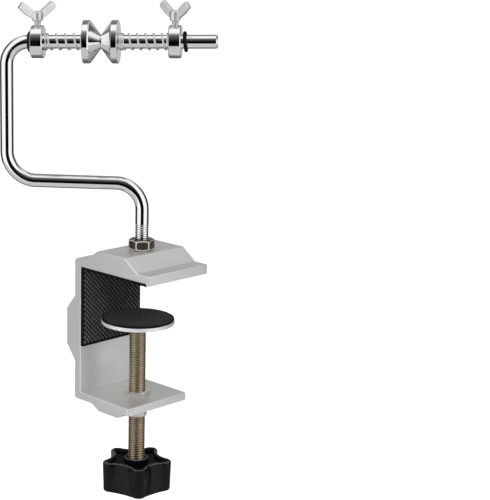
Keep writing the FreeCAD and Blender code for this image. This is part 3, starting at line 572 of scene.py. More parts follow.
def merged_copy(node, flat_angle=0.6):
    """Frame node as a bmesh whose flat faces are whole."""
    bm = bmesh.new()
    bm.from_mesh(frame["nodes"][node].data)
    bmesh.ops.remove_doubles(bm, verts=bm.verts, dist=SEAM)
    bmesh.ops.dissolve_limit(bm, angle_limit=math.radians(flat_angle), verts=bm.verts, edges=bm.edges)
    return bm


def mark_faces(bm, faces):
    """Stores which faces are bevels or frames, for a painted highlight there where the rest is dull."""
    mark = bm.faces.layers.float["broken_edge"]
    for face in faces:
        face[mark] = 1.0


def refined_copy(node, bevel, crease=30.0):
    """Merged copy of a frame node with its edges broken."""
    bm = merged_copy(node)
    bm.faces.layers.float.new("broken_edge")
    sharp = [edge for edge in bm.edges
             if edge.is_manifold and edge.calc_face_angle(0.0) > math.radians(crease)]
    bevelled = bmesh.ops.bevel(bm, geom=sharp, offset=bevel, offset_type="OFFSET", segments=3, profile=0.5,
                               affect="EDGES", clamp_overlap=True)
    # The bevel faces are marked for a painted highlight
    mark_faces(bm, bevelled["faces"])
    return mesh_from(bm)


def framed_copy(node, width, depth=0.08 * MM, nearly_level=0.01, nearly_largest=0.8):
    """Merged copy of an upright hexagon with a frame round each of its flats, which sink by depth."""
    bm = merged_copy(node)
    bm.faces.layers.float.new("broken_edge")
    upright = [face for face in bm.faces if abs(face.normal.z) < nearly_level]
    largest = max(face.calc_area() for face in upright)
    flats = [face for face in upright if face.calc_area() > nearly_largest * largest]
    frames = bmesh.ops.inset_individual(bm, faces=flats, thickness=width, depth=-depth)
    # The frames are marked for a painted highlight
    mark_faces(bm, frames["faces"])
    return mesh_from(bm)


def joined_mesh(meshes):
    """One mesh of several, each of them closed."""
    bm = bmesh.new()
    for mesh in meshes:
        bm.from_mesh(mesh)
    whole = bpy.data.meshes.new("whole")
    bm.to_mesh(whole)
    bm.free()
    return whole


def modified_mesh(mesh, add_modifiers):
    """Plain mesh of what a mesh becomes under the modifiers that a function adds to it."""
    carrier = bpy.data.objects.new("carrier", mesh)
    bpy.context.scene.collection.objects.link(carrier)
    add_modifiers(carrier.modifiers)
    bpy.context.view_layer.update()
    evaluated = carrier.evaluated_get(bpy.context.evaluated_depsgraph_get())
    result = bpy.data.meshes.new_from_object(evaluated)
    carrier.modifiers.clear()
    bpy.data.objects.remove(carrier)
    return result


# Geometry trees


def new_tree(name, inputs):
    """Empty geometry tree with one geometry output. An input is a number, or None and named by its kind."""
    tree = bpy.data.node_groups.new(name, "GeometryNodeTree")
    for label, value in inputs.items():
        kind = {float: "Float", int: "Int"}.get(type(value), label)
        socket = tree.interface.new_socket(name=label, in_out="INPUT", socket_type=f"NodeSocket{kind}")
        if value is not None:
            socket.default_value = value
    tree.interface.new_socket(name="Geometry", in_out="OUTPUT", socket_type="NodeSocketGeometry")
    sockets = add_node(tree, "NodeGroupInput").outputs
    return tree, {label: Formula(tree, sockets[label]) for label in inputs}


def close_tree(tree, geometry, material):
    """Realizes the instances and sets the material, as the tree's last steps."""
    whole = node_value(tree, "GeometryNodeRealizeInstances", {"Geometry": geometry})
    coated = node_value(tree, "GeometryNodeSetMaterial", {"Geometry": whole, "Material": material})
    add_node(tree, "NodeGroupOutput", {"Geometry": coated})
    return tree


def grown_mesh(maker, slot, values, place=UPRIGHT, base=None):
    """Plain mesh of what a maker's tree grows, in a slot's material, from a base mesh if it needs one."""
    tree = bpy.data.node_groups.get(maker.__name__) or maker()
    values = {**values, "Material": finish(slot)}

    def grow(modifiers):
        modifier = modifiers.new("grow", "NODES")
        modifier.node_group = tree
        for socket in tree.interface.items_tree:
            if socket.in_out == "INPUT" and socket.name in values:
                modifier[socket.identifier] = values[socket.name]

    bm = bmesh.new()
    bm.from_mesh(modified_mesh(base or bpy.data.meshes.new("seed"), grow))
    return mesh_from(bm, place)


def vector(tree, x=0.0, y=0.0, z=0.0):
    return node_value(tree, "ShaderNodeCombineXYZ", {"X": x, "Y": y, "Z": z})


def around_axis(radius, angle, height):
    """Point at a radius, an angle and a height round the Z axis."""
    return vector(radius.tree, radius * angle.math("COSINE"), radius * angle.math("SINE"), height)


def position(tree):
    """X, Y and Z of each point."""
    place = node_value(tree, "GeometryNodeInputPosition")
    separated = add_node(tree, "ShaderNodeSeparateXYZ", {0: place})
    return [Formula(tree, output) for output in separated.outputs]


def grid(tree, size_x, size_y, cells_x, cells_y):
    return node_value(tree, "GeometryNodeMeshGrid", {
        "Size X": size_x, "Size Y": size_y, "Vertices X": cells_x + 1.0, "Vertices Y": cells_y + 1.0})


def placed(geometry, point):
    """Geometry with each of its points put at a computed place."""
    return node_value(geometry.tree, "GeometryNodeSetPosition", {"Geometry": geometry, "Position": point})


def lifted(geometry, height):
    offset = vector(geometry.tree, z=height)
    return node_value(geometry.tree, "GeometryNodeTransform", {"Geometry": geometry, "Translation": offset})


def joined(tree, parts):
    whole = add_node(tree, "GeometryNodeJoinGeometry")
    for part in parts:
        tree.links.new(part.socket, whole.inputs[0])
    return Formula(tree, whole.outputs[0])


def swept(path, radius, steps):
    """Round bar along a path, with its ends closed."""
    tree = path.tree
    section = node_value(tree, "GeometryNodeCurvePrimitiveCircle", {"Resolution": steps, "Radius": radius})
    return node_value(tree, "GeometryNodeCurveToMesh", {
        "Curve": path, "Profile Curve": section, "Fill Caps": True})


def screw_thread():
    """Screw thread as one skin: rows of the grid climb round the Z axis with the pitch."""
    tree, given = new_tree("screw_thread", {
        "Length": 0.1, "Radius": 0.005, "Depth": 0.0007, "Pitch": 0.0015, "Crest": 1.2, "Steps": 48,
        "Rows": 6, "Material": None})
    length, pitch, steps, rows = (given[label] for label in ("Length", "Pitch", "Steps", "Rows"))
    last_row = (length / pitch + 2.0).math("CEIL") * rows
    across, up, _ = position(tree)
    around = (steps * 0.5 + up) / steps
    along = (last_row * 0.5 + across) / rows
    climbed = (along + around - 1.0) * pitch
    height = climbed.math("MINIMUM", length).math("MAXIMUM", 0.0)
    inside = climbed.math("GREATER_THAN", 0.0) * climbed.math("LESS_THAN", length)
    flank = ((along * 2.0).math("PINGPONG", 1.0) * given["Crest"]).math("MINIMUM", 1.0)
    root = given["Radius"] - given["Depth"]
    radius = root + flank * inside * given["Depth"]
    point = around_axis(radius, around * math.tau, height)
    skin = placed(grid(tree, last_row, steps, last_row, steps), point)
    lid = node_value(tree, "GeometryNodeMeshCircle", {"Vertices": steps, "Radius": root}, fill_type="NGON")
    whole = joined(tree, (skin, lid, lifted(lid, length)))
    sewn = node_value(tree, "GeometryNodeMergeByDistance", {"Geometry": whole, "Distance": SEAM})
    return close_tree(tree, sewn, given["Material"])


def coil_spring():
    """Compression spring round the Z axis, with closed coils at its foot and at its head."""
    tree, given = new_tree("coil_spring", {
        "Length": 0.02, "Radius": 0.005, "Wire": 0.001, "Turns": 7.0, "Closed Foot": 2.5, "Closed Head": 0.8,
        "Start": 0.0, "Material": None})
    turns, wire, foot, head = (given[label] for label in ("Turns", "Wire", "Closed Foot", "Closed Head"))
    line = node_value(tree, "GeometryNodeCurvePrimitiveLine")
    points = node_value(tree, "GeometryNodeResampleCurve", {"Curve": line, "Count": turns * 40.0})
    turned = node_value(tree, "GeometryNodeSplineParameter", output="Factor") * turns
    open_turns = turns - foot - head
    pitch = (given["Length"] - wire - (foot + head) * wire) / open_turns
    opened = (turned - foot).math("MAXIMUM", 0.0).math("MINIMUM", open_turns)
    height = opened * pitch + (turned - opened) * wire + wire * 0.5
    angle = turned * math.tau + given["Start"]
    coil = placed(points, around_axis(given["Radius"], angle, height))
    return close_tree(tree, swept(coil, wire * 0.5, 16), given["Material"])


def studded(points, rise, sides, base_radius, top_radius):
    """Low frusta on points of Z = 0, let down by a little more than their rise to root in a sheet."""
    stud = node_value(points.tree, "GeometryNodeMeshCone", {
        "Vertices": sides, "Radius Top": top_radius, "Radius Bottom": base_radius, "Depth": rise})
    return node_value(points.tree, "GeometryNodeInstanceOnPoints", {
        "Points": lifted(points, rise * -1.02), "Instance": stud})


def with_relief(geometry, rise):
    """Stores how far up the relief each point lies, from 0 at its foot to 1 at Z = 0."""
    tree = geometry.tree
    whole = node_value(tree, "GeometryNodeRealizeInstances", {"Geometry": geometry})
    height = (position(tree)[2] / rise).math("ADD", 1.0, clamp=True)
    return node_value(tree, "GeometryNodeStoreNamedAttribute", {
        "Geometry": whole, "Name": "relief", "Value": height}, data_type="FLOAT", domain="POINT")


def diamond_knurl():
    """Rubber sheet below Z = 0, with two interlaced fields of diamonds on its upper face."""
    tree, given = new_tree("diamond_knurl", {
        "Width": 0.04, "Length": 0.04, "Thickness": 0.002, "Spacing": 0.0012, "Rise": 0.0003,
        "Material": None})
    thickness, spacing, rise = (given[label] for label in ("Thickness", "Spacing", "Rise"))
    size = vector(tree, given["Width"], given["Length"], thickness - rise)
    slab = node_value(tree, "GeometryNodeMeshCube", {"Size": size})
    parts = [lifted(slab, (thickness + rise) * -0.5)]
    for fewer in (1.0, 2.0):
        cells = [((given[side] - spacing * fewer) / spacing).math("FLOOR") for side in ("Width", "Length")]
        field = grid(tree, cells[0] * spacing, cells[1] * spacing, *cells)
        parts.append(studded(field, rise, 4, spacing * 0.485, spacing * 0.2))
    return close_tree(tree, with_relief(joined(tree, parts), rise), given["Material"])


def dotted_face():
    """Round field of low dots below Z = 0, without their sheet."""
    tree, given = new_tree("dotted_face", {
        "Radius": 0.02, "Spacing": 0.001, "Rise": 0.0002, "Material": None})
    spacing = given["Spacing"]
    cells = (given["Radius"] * 2.0 / spacing).math("FLOOR")
    field = grid(tree, cells * spacing, cells * spacing, cells, cells)
    place = node_value(tree, "GeometryNodeInputPosition")
    length = node_value(tree, "ShaderNodeVectorMath", {0: place}, output="Value", operation="LENGTH")
    outside = length.math("GREATER_THAN", given["Radius"] - spacing * 0.6)
    kept = node_value(tree, "GeometryNodeDeleteGeometry", {
        "Geometry": field, "Selection": outside}, domain="POINT")
    dots = studded(kept, given["Rise"], 8, spacing * 0.4, spacing * 0.24)
    return close_tree(tree, with_relief(dots, given["Rise"]), given["Material"])


def bent_rod():
    """Round bar along a line of points, bent at each point with the radius stored there."""
    tree, given = new_tree("bent_rod", {
        "Geometry": None, "Radius": 0.004, "Arc Steps": 40, "Section Steps": 64, "Material": None})
    path = node_value(tree, "GeometryNodeMeshToCurve", {"Mesh": given["Geometry"]})
    bend = node_value(tree, "GeometryNodeInputNamedAttribute", {"Name": "bend_radius"}, output="Attribute",
                      data_type="FLOAT")
    bent = node_value(tree, "GeometryNodeFilletCurve", {
        "Curve": path, "Radius": bend, "Count": given["Arc Steps"]}, mode="POLY")
    return close_tree(tree, swept(bent, given["Radius"], given["Section Steps"]), given["Material"])


def thread_mesh(slot, place, length, radius, depth, pitch, crest=1.2, steps=48):
    """Thread of a length up the Z axis of its place; the higher the crest, the broader its flat top."""
    return grown_mesh(screw_thread, slot, {
        "Length": length, "Radius": radius, "Depth": depth, "Pitch": pitch, "Crest": crest, "Steps": steps,
    }, place)


# Pieces of the clamp. Each piece or group of like pieces is one operator, and so is the stage.


class WINDER_OT_clamp_frame(bpy.types.Operator):
    """Give the clamp frame its broken edges and satin finish"""

    bl_idname = "winder.clamp_frame"
    bl_label = "Clamp Frame"

    def execute(self, context):
        mesh = refined_copy("clamp_frame", context.scene.winder_clamp.edge_bevel)
        add_piece("clamp_frame", "satin", mesh, "clamp", "frame_aluminium", crease=12.0)
        return {"FINISHED"}


class WINDER_OT_clamp_pads(bpy.types.Operator):
    """Knurl the two rubber pads of the clamp"""

    bl_idname = "winder.clamp_pads"
    bl_label = "Clamp Pads"

    def execute(self, context):
        sizes = context.scene.winder_clamp
        # The spine's pad faces along X, and its length is its height. The jaw's pad faces down.
        for node, through, along, outward in (("spine_pad", 0, 2, 1.0), ("jaw_pad", 2, 0, -1.0)):
            low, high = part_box(node)
            size = high - low
            face = Vector((low + high) / 2)
            face[through] = high[through] if outward > 0 else low[through]
            normal = Vector()
            normal[through] = outward
            values = {
                "Width": size[1], "Length": size[along], "Thickness": size[through],
                "Spacing": sizes.knurl_spacing, "Rise": sizes.knurl_rise,
            }
            place = placement(face, normal, (0.0, 1.0, 0.0))
            mesh = grown_mesh(diamond_knurl, "black_rubber", values, place)
            add_piece(node, "knurled", mesh, "clamp", "black_rubber")
        return {"FINISHED"}


class WINDER_OT_press_foot(bpy.types.Operator):
    """Build the press plate with its rolled edge, and the dotted rubber on it"""

    bl_idname = "winder.press_foot"
    bl_label = "Press Foot"

    def execute(self, context):
        sizes = context.scene.winder_clamp
        low, high = reach("press_plate")
        radius = radius_of("press_plate")
        bore = min(point.xy.length for point in corners_in("press_plate"))
        edge = sizes.plate_rounding
        plate = turned_mesh(rounded([
            (bore, low, 0.0), (radius, low, edge), (radius, high, edge), (bore, high, 0.0)]))
        add_piece("press_plate", "rolled", plate, "press_foot", "plate_steel", crease=TURNED_CREASE)
        low, high = reach("press_pad")
        radius = radius_of("press_pad")
        top = high - sizes.dot_rise
        bevel = sizes.pad_bevel
        sheet = turned_mesh([
            (radius, low), (radius, top - bevel), (radius - bevel, top)], steps=96, solid=True)
        values = {"Radius": radius, "Spacing": sizes.dot_spacing, "Rise": sizes.dot_rise}
        dots = grown_mesh(dotted_face, "black_rubber", values, Matrix.Translation((0.0, 0.0, high)))
        add_piece("press_pad", "dotted", joined_mesh([dots, sheet]), "press_foot", "black_rubber")
        return {"FINISHED"}


class WINDER_OT_clamp_screw(bpy.types.Operator):
    """Cut the clamp screw's thread, and turn the end that holds the press plate"""

    bl_idname = "winder.clamp_screw"
    bl_label = "Clamp Screw"

    def execute(self, context):
        sizes = context.scene.winder_clamp
        low, high = reach("clamp_screw")
        shoulder = reach("press_plate")[0] - sizes.screw_gap
        thread = thread_mesh("screw_steel", Matrix.Translation((0.0, 0.0, low)), shoulder - low,
                             radius_of("clamp_screw"), sizes.screw_depth, sizes.screw_pitch, crest=1.7)
        inside_thread = 1.0 * MM
        head_height = 0.6 * MM
        chamfer_height = 0.25 * MM
        chamfer_width = 0.35 * MM
        spigot = sizes.spigot_radius
        head = sizes.head_radius
        end = turned_mesh([
            (spigot, shoulder - inside_thread), (spigot, high - head_height), (head, high - head_height),
            (head, high - chamfer_height), (head - chamfer_width, high)], steps=48, solid=True)
        add_piece("clamp_screw", "cut", joined_mesh([thread, end]), "screw", "screw_steel", crease=50.0)
        return {"FINISHED"}


class WINDER_OT_hexagons(bpy.types.Operator):
    """Finish the threaded bush in the lower arm, and the lock nut on the rod's foot"""

    bl_idname = "winder.hexagons"
    bl_label = "Bush and Lock Nut"

    def execute(self, context):
        sizes = context.scene.winder_clamp
        bush = refined_copy("threaded_bush", sizes.bush_bevel)
        add_piece("threaded_bush", "plated", bush, "clamp", "bush_steel", crease=15.0)
        nut = framed_copy("lock_nut", sizes.nut_frame)
        add_piece("lock_nut", "black", nut, "lock_nut", "nut_steel")
        return {"FINISHED"}


# The knob


def heading_vector(angle):
    return Vector((math.cos(angle), math.sin(angle)))


def fan(start, end, steps):
    """Directions from start to end, both included, turning the short way."""
    angle = start.angle_signed(end)
    return [Matrix.Rotation(-angle * step / steps, 2) @ start for step in range(steps + 1)]


def star_outline(sizes, radius, depth, hollow):
    """Points and outward normals round the lobed knob: hollow arcs joined by the lobes' rounded corners."""
    station = radius - depth + hollow
    corner = sizes.lobe_rounding
    shoulder = radius - corner
    swing = math.acos((station ** 2 + shoulder ** 2 - (hollow + corner) ** 2) / (2 * station * shoulder))
    half_lobe = math.pi / sizes.lobes
    hollow_steps = 16
    corner_steps = 12
    outline = []
    for lobe in range(sizes.lobes):
        heading = sizes.heading + lobe * math.tau / sizes.lobes
        centre = heading_vector(heading) * station
        before = heading_vector(heading - half_lobe)
        after = heading_vector(heading + half_lobe)
        left, right = (heading_vector(heading + turned) * shoulder for turned in (-swing, swing))
        to_left = (left - centre).normalized()
        to_right = (right - centre).normalized()
        outline += [(left + way * corner, way) for way in fan(before, -to_left, corner_steps)]
        outline += [(centre + way * hollow, -way) for way in fan(to_left, to_right, hollow_steps)[1:-1]]
        outline += [(right + way * corner, way) for way in fan(-to_right, after, corner_steps)[:-1]]
    return outline


def knob_wall(sizes, low, top, floor):
    """Knob's section from its lower face to its dish: (inward offset, height, painted sheen)."""
    edge = sizes.edge_rounding
    draft = sizes.draft
    inner = edge + sizes.bead_width
    quarter = [math.pi / 12 * step for step in range(7)]
    straight = [step / 8 for step in range(1, 8)]
    recess = 0.35 * MM
    bead_fall = 0.4 * MM
    wall = [(draft + edge + 2.2 * MM, low + recess, 0.0), (draft + edge + 0.8 * MM, low, 0.0)]
    wall += [(draft + edge * (1 - math.sin(a)), low + edge * (1 - math.cos(a)), 0.0) for a in quarter]
    wall += [(draft * (1 - part), low + edge + (top - low - 2 * edge) * part, 0.0) for part in straight]
    # Painted highlight along the upper rounding and the bead, stored as sheen
    wall += [(edge * (1 - math.cos(a)), top - edge * (1 - math.sin(a)), 0.8 * math.sin(2 * a) ** 6)
             for a in quarter]
    wall += [(edge + sizes.bead_width * 0.5, top - bead_fall / 4, 0.0), (inner, top - bead_fall, 0.1),
             (inner + bead_fall, floor, 0.0)]
    return wall


def knob_hub(sizes, floor, top):
    """Knob's section from its dish over the hub and down its bore: (radius, height, painted sheen)."""
    clearance = 0.05 * MM
    insert = radius_of("knob_insert") + clearance
    insert_low, insert_top = reach("knob_insert")
    roof = insert_top + clearance
    bore = radius_of("clamp_screw") + 3 * clearance
    chamfer = 0.9 * MM
    hub = sizes.hub_radius
    # Up the hub and over its rounded rim, with a painted highlight there, down the chamfered bore to the insert's
    # roof, and down round it
    return [
        (hub, floor, 0.0), (hub, top - 0.45 * MM, 0.0), (hub - 0.1 * MM, top - 0.12 * MM, 0.3),
        (hub - 0.35 * MM, top, 0.6), (bore + chamfer, top, 0.5), (bore + 0.8 * MM, top - 0.15 * MM, 0.0),
        (bore, top - chamfer, 0.0), (bore, roof, 0.0), (insert, roof, 0.0),
        (insert, insert_low - 2 * clearance, 0.0),
    ]


class WINDER_OT_knob(bpy.types.Operator):
    """Mould the lobed knob with its bead, dish and hub, and finish its insert"""

    bl_idname = "winder.knob"
    bl_label = "Knob"

    def execute(self, context):
        sizes = context.scene.winder_knob
        low, hub_top = reach("knob")
        radius = radius_of("knob")
        top = hub_top - sizes.hub_rise
        floor = top - sizes.dish_depth
        upper = star_outline(sizes, radius, sizes.upper_hollow, sizes.upper_arc)
        lower = star_outline(sizes, radius, sizes.lower_hollow, sizes.lower_arc)
        wall = knob_wall(sizes, low, top, floor)
        hub = knob_hub(sizes, floor, hub_top)
        rings = []
        for offset, height, _ in wall:
            part = (height - low) / (top - low)
            ring = []
            for (below, down_normal), (above, up_normal) in zip(lower, upper):
                normal = down_normal.lerp(up_normal, part).normalized()
                ring.append(Vector((*(below.lerp(above, part) - normal * offset), height)))
            rings.append(ring)
        for ring_radius, height, _ in hub:
            rings.append([Vector((*(point.normalized() * ring_radius), height)) for point, _ in upper])
        bm = bmesh.new()
        # Sheen carries the painted highlight along the rims; matt marks the dish
        shiny = bm.verts.layers.float.new("sheen")
        matt = bm.verts.layers.float.new("matt")
        dish = len(wall) - 1
        for row, (points, (_, _, sheen)) in enumerate(zip(rings_mesh(bm, rings, solid=True), wall + hub)):
            for point in points:
                point[shiny] = sheen
                point[matt] = 1.0 if row >= dish else 0.0
        add_piece("knob", "moulded", mesh_from(bm), "screw", "knob_plastic", crease=40.0)
        insert_materials = frame["nodes"]["knob_insert"].data.materials
        insert_materials.clear()
        insert_materials.append(finish("insert_brass"))
        return {"FINISHED"}


# The arm and what runs on its spindle


class WINDER_OT_arm_rod(bpy.types.Operator):
    """Bend the chromed rod and cut its foot's thread"""

    bl_idname = "winder.arm_rod"
    bl_label = "Arm Rod"

    def execute(self, context):
        sizes = context.scene.winder_rod
        radius = sizes.rod_radius
        foot_end = reach("arm_rod")[0]
        foot = Vector((*JOINTS["arm_swivel"]["pos_m"][:2], 0.0))
        heading = Vector((SPINDLE_AXIS.x, SPINDLE_AXIS.y, 0.0)).normalized()
        thread_top = foot + Vector((0.0, 0.0, sizes.thread_top))
        lower = foot + Vector((0.0, 0.0, sizes.middle_height))
        outer = lower - heading * sizes.arm_reach
        waist = SPINDLE.translation
        upper = waist + SPINDLE_AXIS * ((outer - waist).dot(heading) / SPINDLE_AXIS.dot(heading))
        end = waist + SPINDLE_AXIS * reach("arm_rod", SPINDLE)[1]
        points = [thread_top, lower, outer, upper, end]
        bends = [0.0, sizes.lower_bend, sizes.middle_bend, sizes.upper_bend, 0.0]
        path = bpy.data.meshes.new("rod_path")
        path.from_pydata(points, [(index, index + 1) for index in range(len(points) - 1)], [])
        path.attributes.new("bend_radius", "FLOAT", "POINT").data.foreach_set("value", bends)
        bm = bmesh.new()
        bm.from_mesh(grown_mesh(bent_rod, "rod_chrome", {"Radius": radius}, base=path))
        lids = [face for face in bm.faces if len(face.verts) > 4]
        end_lids = [lid for lid in lids if abs(lid.normal.dot(SPINDLE_AXIS)) > 0.9]
        rims = [edge for lid in end_lids for edge in lid.edges]
        bmesh.ops.bevel(bm, geom=rims, offset=sizes.end_chamfer, segments=1, affect="EDGES")
        thread_place = Matrix.Translation((foot.x, foot.y, foot_end))
        thread = thread_mesh("rod_chrome", thread_place, sizes.thread_top - foot_end, radius,
                             sizes.foot_depth, sizes.foot_pitch, crest=2.4)
        whole = joined_mesh([mesh_from(bm), thread])
        add_piece("arm_rod", "chromed", whole, "arm", "rod_chrome", crease=30.0)
        return {"FINISHED"}


class WINDER_OT_collars(bpy.types.Operator):
    """Turn the stop collars and mould their rings"""

    bl_idname = "winder.collars"
    bl_label = "Collars and Rings"

    def execute(self, context):
        sizes = context.scene.winder_spindle
        chamfer = sizes.collar_chamfer
        bore = sizes.cone_bore
        inner_rounding = 0.12 * MM
        outer_rounding = 0.2 * MM
        for side, body, tilt in (("left", "arm", 0.0), ("right", "right_collar", sizes.ring_tilt)):
            node = f"{side}_collar"
            low, high = reach(node, SPINDLE)
            outer = radius_of(node, SPINDLE)
            collar = turned_mesh(rounded([
                (bore, low, 0.0), (outer - chamfer, low, inner_rounding),
                (outer, low + chamfer, outer_rounding), (outer, high - chamfer, outer_rounding),
                (outer - chamfer, high, inner_rounding), (bore, high, 0.0),
            ]), SPINDLE)
            add_piece(node, "turned", collar, body, "polished_aluminium", crease=TURNED_CREASE)
            node = f"{side}_o_ring"
            low, high = reach(node, SPINDLE)
            section = (high - low) / 2
            middle = radius_of(node, SPINDLE) - section
            profile = [(middle + point.x, point.y) for point in circle(section, 0.0, 24)]
            station = Matrix.Translation((0.0, 0.0, (low + high) / 2))
            place = SPINDLE @ station @ Matrix.Rotation(tilt, 4, "Y")
            add_piece(node, "moulded", turned_mesh(profile, place, steps=72), body, "black_rubber")
        return {"FINISHED"}


class WINDER_OT_cones(bpy.types.Operator):
    """Turn the two centring cones: a bevelled rim, then the slope down to the tip"""

    bl_idname = "winder.cones"
    bl_label = "Cones"

    def execute(self, context):
        sizes = context.scene.winder_spindle
        bevel = sizes.rim_bevel
        bore = sizes.cone_bore
        tip_chamfer = 0.12 * MM
        at_tip = 0.05 * MM
        at_rim = 0.02 * MM
        bevel_steepness = 0.62
        for side, outward in (("left", -1.0), ("right", 1.0)):
            node = f"{side}_cone"
            low, high = reach(node, SPINDLE)
            tip, back = (high, low) if outward < 0 else (low, high)
            rim = radius_of(node, SPINDLE)
            points = [(abs(point.z - tip), point.xy.length) for point in corners_in(node, SPINDLE)]
            tip_radius = max(radius for along, radius in points if along < at_tip)
            slope_end = min(along for along, radius in points if radius > rim - at_rim)
            bevel_drop = bevel * (rim - tip_radius) / slope_end * bevel_steepness
            cone = turned_mesh(rounded([
                (bore, tip, 0.0), (tip_radius - tip_chamfer, tip, 0.0),
                (tip_radius, tip + outward * tip_chamfer, 0.0),
                (rim - bevel_drop, tip + outward * (slope_end - bevel), 0.15 * MM),
                (rim, tip + outward * slope_end, 0.2 * MM), (rim, back, sizes.rim_rounding),
                (bore, back, 0.0),
            ]), SPINDLE)
            add_piece(node, "turned", cone, node, "polished_aluminium", crease=TURNED_CREASE)
        return {"FINISHED"}


class WINDER_OT_springs(bpy.types.Operator):
    """Wind the two springs: each flattens towards its cone as the cone is pushed along the spindle"""
    # Wind the two springs, each with closed coils at both ends, riding with its slider

    bl_idname = "winder.springs"
    bl_label = "Springs"

    def execute(self, context):
        sizes = context.scene.winder_spindle
        windings = {"left": (sizes.left_turns, sizes.left_closed, sizes.left_start),
                    "right": (sizes.right_turns, sizes.right_closed, 0.0)}
        for side, (turns, closed, start) in windings.items():
            node = f"{side}_spring"
            low, high = reach(node, SPINDLE)
            length = high - low
            values = {
                "Length": length, "Radius": radius_of(node, SPINDLE) - sizes.wire / 2, "Wire": sizes.wire,
                "Turns": turns, "Closed Foot": closed, "Closed Head": sizes.end_turns, "Start": start,
            }
            place = SPINDLE @ Matrix.Translation((0.0, 0.0, low))
            mesh = grown_mesh(coil_spring, "spring_steel", values, place)
            piece = add_piece(node, "wound", mesh, f"{side}_slider", "spring_steel", crease=60.0)
            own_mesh(piece)
        return {"FINISHED"}


def wing_outline(sizes, side, root, length):
    """Outline of one wing in its own plane: straight above, bowed below, with rounded corners at the tip."""
    lean = sizes.wing_lean
    along = Vector((side * math.sin(lean), math.cos(lean)))
    above = Vector((-side * math.cos(lean), math.sin(lean))) * (sizes.wing_width / 2)
    tip = sizes.wing_tip
    # Part of the length, then how far above the middle line as a part of half the width, then the rounding
    stations = [(0.0, 0.72, 0.0), (0.5, 0.97, 0.0), (1.0, 1.0, tip), (1.0, -1.0, tip),
                (0.75, -1.15, 0.0), (0.5, -1.2, 0.0), (0.25, -1.05, 0.0), (0.0, -0.6, 0.0)]
    corners = []
    for station, offset, rounding in stations:
        point = Vector((0.0, root)) + along * length * station + above * offset
        corners.append((point.x, point.y, rounding))
    return rounded(corners)


def cast_wing(sizes, node, stud):
    """Cast wing on a stud's place: two limbs on a round boss with a tapered toe."""
    spread = max(corners_in(node, stud), key=lambda point: point.xy.length)
    place = stud @ Matrix.Rotation(math.atan2(spread.y, spread.x), 4, "Z")
    low, high = reach(node, place)
    boss = max(point.xy.length for point in corners_in(node, place) if point.z < low + 1.5 * MM)
    boss_top = low + sizes.boss_height
    lean = sizes.wing_lean
    tip_rise = sizes.wing_width / 2 * math.sin(lean)
    root = low + sizes.wing_heel + tip_rise
    rounding_loss = sizes.wing_tip * (math.sin(lean) + math.cos(lean) - 1.0)
    length = (high + rounding_loss - root - tip_rise) / math.cos(lean)
    half = sizes.wing_thickness / 2
    bm = bmesh.new()
    for side in (-1.0, 1.0):
        outline = wing_outline(sizes, side, root, length)
        rings_mesh(bm, [[Vector((x, level, z)) for x, z in outline] for level in (-half, half)], solid=True)
    # Tapered toe, straight side, rounded crown
    round_boss = turned_mesh([
        (boss * 0.8, low), (boss, low + 1.2 * MM), (boss, boss_top - 0.9 * MM),
        (boss * 0.86, boss_top - 0.25 * MM), (boss * 0.6, boss_top)], steps=40, solid=True)
    cast = modified_mesh(joined_mesh([mesh_from(bm), round_boss]), melt_together)
    cast.transform(place)
    return cast


def melt_together(modifiers):
    """Modifiers that make one smooth skin of overlapping closed parts."""
    remesh = modifiers.new("remesh", "REMESH")
    remesh.mode = "VOXEL"
    remesh.voxel_size = CAST_GRAIN
    smooth = modifiers.new("smooth", "SMOOTH")
    smooth.factor = 0.5
    smooth.iterations = 4


class WINDER_OT_wing_screws(bpy.types.Operator):
    """Cut the studs and cast the wings of the two wing screws"""

    bl_idname = "winder.wing_screws"
    bl_label = "Wing Screws"

    def execute(self, context):
        sizes = context.scene.winder_spindle
        for side in ("left", "right"):
            node = f"{side}_wing_stud"
            place = placement(JOINTS[f"{side}_wing_turn"]["pos_m"], STUD_AXIS, SPINDLE_AXIS)
            low, high = reach(node, place)
            thread = thread_mesh("wing_zinc", place @ Matrix.Translation((0.0, 0.0, low)), high - low,
                                 radius_of(node, place), sizes.stud_depth, sizes.stud_pitch, steps=32)
            add_piece(node, "cut", thread, f"{side}_stud", "wing_zinc", crease=50.0)
            cast = cast_wing(sizes, f"{side}_wing", place)
            add_piece(f"{side}_wing", "cast", cast, f"{side}_wings", "wing_zinc", crease=80.0)
        return {"FINISHED"}


# The stage


CAMERA_PLACE = (0.64688659, -0.61882338, 0.22190963)
CAMERA_TURN = (77.27951247, -0.49748313, 47.27229805)
CAMERA_FOCUS = 1553.0
IMAGE_SIZE = (490, 500)
PICTURE_CENTRE = (115.4, 238.6)
WHITE = (1.0, 1.0, 1.0, 1.0)
NEARLY_WHITE = (0.9, 0.9, 0.9, 1.0)


def make_camera(context):
    data = bpy.data.cameras.new("winder_camera")
    camera = bpy.data.objects.new("winder_camera", data)
    context.scene.collection.objects.link(camera)
    camera.location = CAMERA_PLACE
    camera.rotation_euler = Euler([math.radians(angle) for angle in CAMERA_TURN])
    width, height = IMAGE_SIZE
    data.sensor_fit = "HORIZONTAL"
    data.sensor_width = 36.0
    data.lens = CAMERA_FOCUS / width * data.sensor_width
    data.shift_x = (width / 2 - PICTURE_CENTRE[0]) / width
    data.shift_y = (PICTURE_CENTRE[1] - height / 2) / width
    context.scene.camera = camera
    return camera


def empty_nodes(owner):
    """Node tree of a new world or material, with nothing in it."""
    owner.use_nodes = True
    owner.node_tree.nodes.clear()
    return owner.node_tree


def seen_directly(tree):
    """1 where a camera, glossy or transmission ray looks, 0 for the light that falls on things."""
    camera, glossy, through = (
        node_value(tree, "ShaderNodeLightPath", output=f"Is {ray} Ray")
        for ray in ("Camera", "Glossy", "Transmission"))
    return camera.math("MAXIMUM", glossy.math("MAXIMUM", through))


